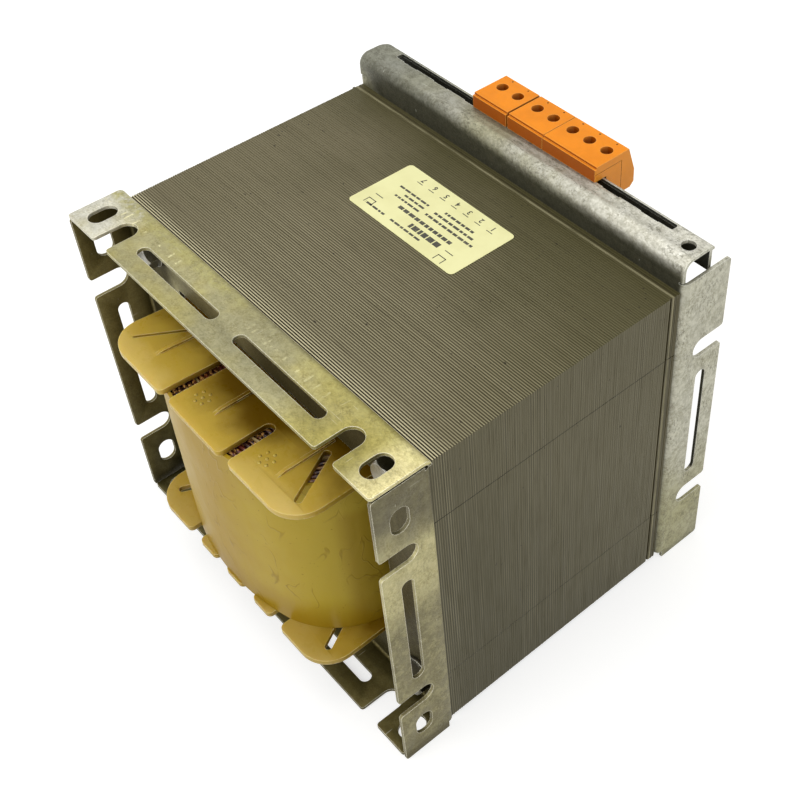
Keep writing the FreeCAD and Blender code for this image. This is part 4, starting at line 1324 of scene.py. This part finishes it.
@dataclass
class TerminalBlocks:
    """The orange terminal blocks, with test points, wide screw holes and a fitted end plate."""

    blocks: tuple[tuple[str, tuple[float, ...]], ...] = (
        ("left", (-25.95, -16.45)), ("middle", (-4.6, 4.9)), ("right", (16.0, 25.5, 35.0)))
    top: float = 183.2
    screw_line: float = 82.0
    screw_radius: float = 2.6
    screw_depth: float = 7.0
    test_line: float = 87.8
    test_radius: float = 0.5
    test_depth: float = 2.0
    seam_along: float = 84.9
    seam_height: float = 179.6
    groove: float = 0.28
    edge: float = 0.25

    def end_plate(self, body: bpy.types.Object) -> list[bpy.types.Object]:
        """Make the cutters of the two seams on the outer end of the last block.

        Args:
            body: the block.

        Returns:
            The cutters.
        """
        end = max(point.co.x for point in body.data.vertices) / MM
        low, high = end - self.groove, end + 1
        along, height = self.seam_along, self.seam_height
        return [block("seam_upright", (low, along, 160), (high, along + self.groove, height)),
                block("seam_level", (low, 60, height), (high, along + 0.3, height + self.groove))]

    def build(self) -> None:
        """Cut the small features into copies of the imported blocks."""
        for tag, poles in self.blocks:
            node = f"terminal_block_{tag}"
            body = node_copy(node, f"orange_block_{tag}")
            tools = [rod("screw_well", (pole, self.screw_line, self.top), self.screw_radius, self.screw_depth,
                         corners=32) for pole in poles]
            tools += [rod("test_point", (pole, self.test_line, self.top), self.test_radius, self.test_depth,
                          corners=12) for pole in poles]
            if tag == "right":
                tools += self.end_plate(body)
            carve(body, tools)
            soften(body, self.edge)
            smooth(body)
            refine(body, "WEIGHTED_NORMAL", mode="FACE_AREA", weight=80, keep_sharp=True)
            hand_over(body, ORANGE, (node,))


@dataclass
class SteelCore:
    """The stack of E and I sheets, every second sheet turned end for end."""

    half_width: float = 96.0
    half_depth: float = 60.0
    floor: float = 2.0
    module: float = 32.0
    pitch: float = 120 / 224
    sheet: float = 0.49
    joint: float = 0.12
    hole: float = 5.5
    near_step: float = 0.34
    far_step: float = 0.1
    loose_from: float = 54.6
    odd_until: float = 55.2
    odd_shift: float = -0.7
    seed: int = 7

    def bore(self, sheet: bpy.types.Object, height: float) -> None:
        """Cut the two holes of the tie bolts.

        Args:
            sheet: the sheet.
            height: height of the holes, in millimetres.
        """
        carve(sheet, [rod(f"hole_{side}", (side * 2.5 * self.module, 0, height), self.hole, 4,
                          (math.pi / 2, 0, 0), 12) for side in (-1, 1)])

    def e_sheet(self) -> bpy.types.Object:
        """Model one E sheet, its yoke down.

        Returns:
            The sheet.
        """
        unit, low = self.module, self.floor
        sheet = block("e_sheet", (-self.half_width, 0, low), (self.half_width, self.sheet, low + 4 * unit - self.joint))
        for left in (-2 * unit, unit):
            carve(sheet, [block("window", (left, -1, low + unit), (left + unit, 1 + self.sheet, low + 5 * unit))])
        self.bore(sheet, low + unit / 2)
        return sheet

    def i_sheet(self) -> bpy.types.Object:
        """Model one I sheet, which closes the E at its top.

        Returns:
            The sheet.
        """
        low, high = self.floor + 4 * self.module + self.joint, self.floor + 5 * self.module
        sheet = block("i_sheet", (-self.half_width, 0, low), (self.half_width, self.sheet, high))
        self.bore(sheet, self.floor + 4.5 * self.module)
        return sheet

    def set_back(self, index: int, count: int, chance: random.Random) -> Matrix:
        """Say how one I sheet is squeezed, so that its outer edge stands back.

        Args:
            index: number of the sheet.
            count: number of sheets.
            chance: source of the offsets.

        Returns:
            The squeeze.
        """
        seat = (self.floor + 4 * self.module) * MM
        share = min(1.0, index / 24)
        step = self.near_step + (self.far_step - self.near_step) * (0.55 * share + 0.45 * index / count)
        step += chance.uniform(-0.04, 0.04)
        squeeze = Matrix.Scale(1 - step / self.module, 4, Vector((0, 0, 1)))
        return Matrix.Translation((0, 0, seat)) @ squeeze @ Matrix.Translation((0, 0, -seat))

    def stack(self, model: bpy.types.Object, closing: bool, chance: random.Random) -> bpy.types.Object:
        """Copy one sheet into the whole stack with small random offsets.

        Args:
            model: the sheet to copy.
            closing: True for the I sheets, whose outer edge is set back.
            chance: source of the offsets.

        Returns:
            The stack.
        """
        count = round(2 * self.half_depth / self.pitch)
        middle = Vector((0, 0, (self.floor + 2.5 * self.module) * MM))
        turned = Matrix.Translation(middle) @ Matrix.Rotation(math.pi, 4, "Y") @ Matrix.Translation(-middle)
        copies = []
        for index in range(count):
            along = -self.half_depth + index * self.pitch + 0.02
            slack = 0.30 if along > self.loose_from else 0.06
            aside = min(chance.uniform(-slack, slack) * 0.6, 0.3)
            if self.loose_from < along < self.odd_until:
                aside = self.odd_shift
            move = self.set_back(index, count, chance) if closing else Matrix.Identity(4)
            if index % 2:
                move = turned @ move
            drop = 0 if closing else chance.uniform(0, 0.05) * (-1 if index % 2 else 1)
            move = Matrix.Translation((aside * MM, along * MM, drop * MM)) @ move
            copies.append(copied(model, f"{model.name}_{index}", move))
        name = model.name + "s"
        bpy.data.objects.remove(model)
        return joined(copies, name)

    def build(self) -> None:
        """Model both kinds of sheet and stack them."""
        chance = random.Random(self.seed)
        hand_over(self.stack(self.e_sheet(), False, chance), CORE_STEEL, ("e_laminations",))
        hand_over(self.stack(self.i_sheet(), True, chance), CORE_STEEL, ("i_laminations",))


@dataclass
class CoilWrap:
    """The film round the coil, cut into a fine grid and waved."""

    low: float = 36.0
    high: float = 126.4
    half_width: float = 60.5
    wave: float = 0.5
    wave_size: float = 22.0
    grid: float = 3.2

    def steps(self, start: float, end: float) -> tuple[float, ...]:
        """List the grid's places between two edges, the last at least 1 mm inside.

        Args:
            start: the lower edge, in millimetres.
            end: the upper edge, in millimetres.

        Returns:
            The places.
        """
        places = [start + self.grid]
        while places[-1] + self.grid < end - 1:
            places.append(places[-1] + self.grid)
        return tuple(places)

    def build(self) -> None:
        """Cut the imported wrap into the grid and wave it."""
        wrap = node_copy("coil_outer_wrap", "coil_wrap")
        with editing(wrap):
            slice_open((0, 0, 1), self.steps(self.low, self.high))
            slice_open((1, 0, 0), self.steps(-self.half_width, self.half_width))
            bpy.ops.mesh.select_all(action="SELECT")
            bpy.ops.mesh.quads_convert_to_tris()
        LIFT.bend(wrap, self.high - 0.5)
        slack = bpy.data.textures.new("slack_waves", "CLOUDS")
        slack.noise_scale = self.wave_size * MM
        slack.noise_depth = 2
        for direction in ("X", "Y"):
            refine(wrap, "DISPLACE", texture=slack, texture_coords="LOCAL", direction=direction,
                   strength=self.wave * MM, mid_level=0.5)
        smooth(wrap)
        hand_over(wrap, WRAP_FILM, ("coil_outer_wrap",))


@dataclass
class Windings:
    """Both windings, with their end turns laid side by side."""

    wire: float = 1.9
    gap: float = 0.15
    sway: float = 0.12
    crown: float = 96.8
    side: float = 60.5
    corner: float = 40.0
    bulge: float = 2.8
    top: float = 126.38
    shrink: float = 1.5
    seed: int = 11

    def outline(self, inset: float) -> list[tuple[float, float]]:
        """Lay out the points of one turn round the coil.

        Args:
            inset: distance from the coil's outside, in millimetres.

        Returns:
            The points, across and along.
        """
        radius = self.corner - inset
        corner_x = self.side - self.corner
        corner_y = self.crown - self.corner - self.bulge
        points = []
        for quarter, (sign_x, sign_y) in enumerate(((1, 1), (-1, 1), (-1, -1), (1, -1))):
            for step in range(7):
                angle = math.radians(90 * quarter + 15 * step)
                points.append((sign_x * corner_x + radius * math.cos(angle),
                               sign_y * corner_y + radius * math.sin(angle)))
            if quarter in (0, 2):
                for share in (0.5, 0.0, -0.5):
                    rise = self.bulge * (1 - share * share * 2)
                    points.append((sign_x * share * corner_x * 1.4, sign_y * (corner_y + radius + rise)))
        return points

    def turn(self, name: str, inset: float, height: float, chance: random.Random) -> bpy.types.Object:
        """Model one turn that follows the coil's outline.

        Args:
            name: name of the turn.
            inset: distance from the coil's outside, in millimetres.
            height: height of its middle, in millimetres.
            chance: source of its small waves.

        Returns:
            The turn.
        """
        points = self.outline(inset)
        path = bpy.data.curves.new(name, "CURVE")
        path.dimensions = "3D"
        line = path.splines.new("NURBS")
        line.points.add(len(points) - 1)
        for spot, (across, along) in zip(line.points, points):
            sway = chance.uniform(-self.sway, self.sway)
            spot.co = ((across + sway) * MM, (along + sway) * MM, height * MM, 1)
        line.order_u = 3
        line.use_cyclic_u = True
        path.bevel_depth = self.wire / 2 * MM
        path.bevel_resolution = 2
        path.resolution_u = 3
        piece = bpy.data.objects.new(name, path)
        bpy.context.scene.collection.objects.link(piece)
        pick(piece)
        bpy.ops.object.convert(target="MESH")
        return bpy.context.object

    def body(self, node: str) -> bpy.types.Object:
        """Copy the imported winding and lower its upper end, on which the turns lie.

        Args:
            node: name of the winding.

        Returns:
            The lowered body.
        """
        body = node_copy(node, f"{node}_body")
        for point in body.data.vertices:
            if point.co.z > (self.top - 1) * MM:
                point.co.z -= self.shrink * MM
        return body

    def build(self) -> None:
        """Lay the end turns on both windings."""
        chance = random.Random(self.seed)
        for node, first, count in (("secondary_winding", 2.6, 5), ("primary_winding", 14.4, 8)):
            pieces = [self.body(node)]
            for index in range(count):
                inset = first + index * (self.wire + self.gap)
                height = self.top - self.wire / 2 - chance.uniform(0.02, 0.3)
                pieces.append(self.turn(f"{node}_turn_{index}", inset, height, chance))
            whole = joined(pieces, f"{node}_turns")
            LIFT.bend(whole, self.top - self.wire - 1)
            smooth(whole, 50)
            hand_over(whole, ENAMEL, (node,))


@dataclass
class BobbinMarks:
    """Small moulded domes in rings on the bobbin's upper flange."""

    face: float = 129.0
    places: tuple[tuple[float, float], ...] = ((-9.6, -86.3), (31.8, -85.4))
    ring: float = 3.1
    dome: float = 0.7
    flatness: float = 0.55

    def ringed(self, across: float, along: float) -> list[tuple[float, float]]:
        """List the six places round a middle, and the middle itself.

        Args:
            across: place of the middle across the coil.
            along: place of the middle along the stack.

        Returns:
            The seven places.
        """
        angles = [math.radians(60 * index + 20) for index in range(6)]
        ring = [(across + self.ring * math.cos(angle), along + self.ring * math.sin(angle)) for angle in angles]
        return [*ring, (across, along)]

    def build(self) -> None:
        """Set the domes on both ends of the bobbin."""
        deselect()
        bpy.ops.mesh.primitive_uv_sphere_add(segments=12, ring_count=8, radius=self.dome * MM)
        dome = settle(bpy.context.object, "bobbin_dome")
        dome.data.transform(Matrix.Scale(self.flatness, 4, Vector((0, 0, 1))))
        copies = []
        for middle in self.places:
            for end in (1, -1):
                for across, along in self.ringed(*middle):
                    x, y = end * across, end * along
                    spot = [part * MM for part in (x, y, self.face + LIFT.at(x, y))]
                    copies.append(copied(dome, f"dome_{len(copies)}", Matrix.Translation(spot)))
        bpy.data.objects.remove(dome)
        marks = joined(copies, "bobbin_domes")
        smooth(marks, 60)
        hand_over(marks, BOBBIN_NYLON)


@dataclass
class LabelPrint:
    """Plain print on the label: ruled bars, boxes and numbers that name nothing."""

    centre: tuple[float, float] = (-1.6, 21.2)
    size: tuple[float, float] = (64.5, 33.2)
    face: float = 162.2
    ink: float = 0.03
    bold: float = 0.08
    numbers: int = 7
    last_number: float = 51.0
    number_pitch: float = 7.1
    number_height: float = 2.5
    word_gap: float = 0.55
    box: float = 4.6
    box_height: float = 3.4
    rule: float = 0.4
    boxes: tuple[tuple[float, float], ...] = ((8.0, 28.5), (54.5, 26.0))
    seed: int = 3
    lines: tuple[tuple[float, float, float, float], ...] = (
        (13, 30, 10.0, 1.2), (10, 33, 13.0, 1.2), (7, 35, 16.0, 1.2), (38, 56, 12.0, 1.0), (38, 50, 14.6, 1.0),
        (38, 53, 17.2, 1.0), (14, 46, 20.4, 1.7), (16, 34, 24.2, 2.6), (24, 42, 28.4, 1.0), (46, 58, 28.4, 1.0))

    def spot(self, left: float, front: float) -> tuple[float, float]:
        """Turn a place, from the label's lower left corner as it is read, into X and Y."""
        return self.centre[0] + self.size[0] / 2 - left, self.centre[1] + self.size[1] / 2 - front

    def bar(self, left: float, front: float, length: float, width: float) -> bpy.types.Object:
        """Print one bar with its length along the line of print."""
        x, y = self.spot(left, front)
        return block("bar", (x - length, y - width, self.face), (x, y, self.face + self.ink))

    def number(self, figures: str, left: float, front: float) -> bpy.types.Object:
        """Print a plain number.

        Args:
            figures: its figures.
            left: distance from the left.
            front: distance from the foot of the print.

        Returns:
            The number as a mesh.
        """
        deselect()
        x, y = self.spot(left, front)
        bpy.ops.object.text_add(location=(x * MM, y * MM, self.face * MM), rotation=(0, 0, math.pi))
        text = bpy.context.object
        text.data.body = figures
        text.data.size = self.number_height * 1.4 * MM
        text.data.extrude = self.ink * MM
        text.data.offset = self.bold * MM
        text.data.resolution_u = 2
        bpy.ops.object.convert(target="MESH")
        return settle(bpy.context.object, "figures")

    def build(self) -> None:
        """Lay out the print."""
        chance = random.Random(self.seed)
        pieces = []
        for index in range(self.numbers):
            left = self.last_number - index * self.number_pitch
            pieces += [self.number(str(self.numbers - index), left, 2.3), self.bar(left - 0.9, 5.6, 3.4, 0.35)]
        for left, end, front, width in self.lines:
            while left < end:
                length = chance.uniform(1.2, 3.4)
                pieces.append(self.bar(left, front, min(length, end - left), width))
                left += length + self.word_gap
        for left, front in self.boxes:
            pieces += [self.bar(left, foot, self.box, self.rule) for foot in (front, front - self.box_height)]
            pieces += [self.bar(side, front, self.rule, self.box_height) for side in (left, left + 4.2)]
        hand_over(joined(pieces, "label_print"), INK)


# --------------------------------------------------------------------------
# studio


@dataclass
class Studio:
    """Floor, white room, lamps and camera."""

    sky: float = 0.5
    floor_tone: Colour = tint(188, 188, 186)
    lens: float = 58.63
    shift: tuple[float, float] = (-0.1085, -0.0693)
    stand: Point = (0.32194, -0.22083, 0.48588)
    turn: Point = (45.55561807, 1.66626772, 48.67895422)

    def seen(self, graph: Graph) -> Value:
        """Give 1 where the camera sees a surface, straight, in metal or through glass.

        Args:
            graph: the graph to work in.

        Returns:
            The mask.
        """
        rays = graph.add("ShaderNodeLightPath").outputs
        straight, mirrored, through = (Value(graph, rays[f"Is {kind} Ray"])
                                       for kind in ("Camera", "Glossy", "Transmission"))
        return (straight + mirrored + through).kept()

    def world(self) -> None:
        """Light the room evenly and show it white."""
        room = bpy.data.worlds.new("white_room")
        bpy.context.scene.world = room
        graph = Graph(cleared(room))
        strength = self.sky + self.seen(graph) * (1 - self.sky)
        light = graph.read("ShaderNodeBackground", {"Color": (1, 1, 1, 1), "Strength": strength})
        graph.add("ShaderNodeOutputWorld", {"Surface": light})

    def floor(self) -> None:
        """Lay the pale floor that keeps the object's shadow."""
        deselect()
        bpy.ops.mesh.primitive_plane_add(size=8, location=(0, 0, -0.0002))
        ground = settle(bpy.context.object, "studio_floor")
        stuff = bpy.data.materials.new("studio_floor")
        graph = Graph(cleared(stuff))
        where = graph.read("ShaderNodeTexCoord", output="Object")
        away = graph.read("ShaderNodeVectorMath", {0: where}, "Value", operation="LENGTH")
        strength = self.seen(graph) * away.span(0.5, 1.5, 0.68, 1.0)
        matt = graph.read("ShaderNodeBsdfDiffuse", {"Color": self.floor_tone})
        glow = graph.read("ShaderNodeEmission", {"Color": (1, 1, 1, 1), "Strength": strength})
        both = graph.read("ShaderNodeAddShader", {0: matt, 1: glow})
        graph.add("ShaderNodeOutputMaterial", {"Surface": both})
        ground.data.materials.append(stuff)

    def lamp(self, name: str, place: Point, aim: Point, size: float, power: float) -> None:
        """Hang one soft lamp.

        Args:
            name: its name.
            place: where it hangs, in metres.
            aim: what it points at, in metres.
            size: side of its square, in metres.
            power: its power, in watts.
        """
        data = bpy.data.lights.new(name, "AREA")
        data.shape = "SQUARE"
        data.size = size
        data.energy = power
        lamp = bpy.data.objects.new(name, data)
        bpy.context.scene.collection.objects.link(lamp)
        lamp.location = place
        lamp.rotation_euler = (Vector(place) - Vector(aim)).to_track_quat("Z", "Y").to_euler()

    def camera(self) -> None:
        """Stand the camera where the photograph was taken."""
        data = bpy.data.cameras.new("view")
        data.lens = self.lens
        data.sensor_width = 36
        data.shift_x, data.shift_y = self.shift
        data.clip_start = 0.01
        view = bpy.data.objects.new("view", data)
        bpy.context.scene.collection.objects.link(view)
        view.location = self.stand
        view.rotation_euler = [math.radians(angle) for angle in self.turn]
        bpy.context.scene.camera = view

    def build(self) -> None:
        """Set up the whole studio."""
        bpy.context.scene.view_settings.view_transform = "Standard"
        self.world()
        self.floor()
        self.camera()
        self.lamp("overhead", (-0.2, -0.1, 1.6), (0, 0, 0.1), 1.1, 10.0)
        self.lamp("front", (-0.2, -1.5, 0.8), (0, 0, 0.08), 0.9, 8.5)
        self.lamp("right_fill", (1.5, 0.3, 0.5), (0, 0, 0.08), 0.9, 4.2)


def main() -> None:
    """Build the pieces in order and report each of them."""
    logging.basicConfig(level=logging.INFO, format="%(name)s: %(message)s")
    Studio().build()
    parts = [
        FoldedFrame("front_folded_frame", ("front_plate", "front_left_flange", "front_right_flange",
                                           "front_lower_flange", "front_upper_flange"),
                    FRONT_PLATING, "passivated_sheet"),
        FoldedFrame("rear_folded_frame", ("rear_plate", "rear_left_flange", "rear_right_flange",
                                          "rear_lower_flange", "terminal_channel"),
                    REAR_PLATING, "galvanised_sheet",
                    (RoundedCorner("terminal_channel", (-96.7, 76.5), 6.0, 158, 178),)),
        Bobbin(),
        PackedPart(("tie_bolts", "tie_nuts", "tie_washers"), ZINC, 0.15),
        PackedPart(("terminal_screws", "terminal_clamps"), ZINC, 0.06, 1),
        TerminalBlocks(),
        PackedPart(("bolt_sleeves",), SLEEVE),
        PackedPart(("interwinding_insulation",), PAPER),
        PackedPart(("rating_label",), LABEL_FILM, 0.04, 1),
        PackedPart(tuple(f"winding_lead_{index}" for index in range(1, 8)), LEAD),
        SteelCore(),
        CoilWrap(),
        Windings(),
        BobbinMarks(),
        LabelPrint(),
    ]
    for part in parts:
        part.build()
        LOG.info("%s done", type(part).__name__)


if __name__ == "__main__":
    main()
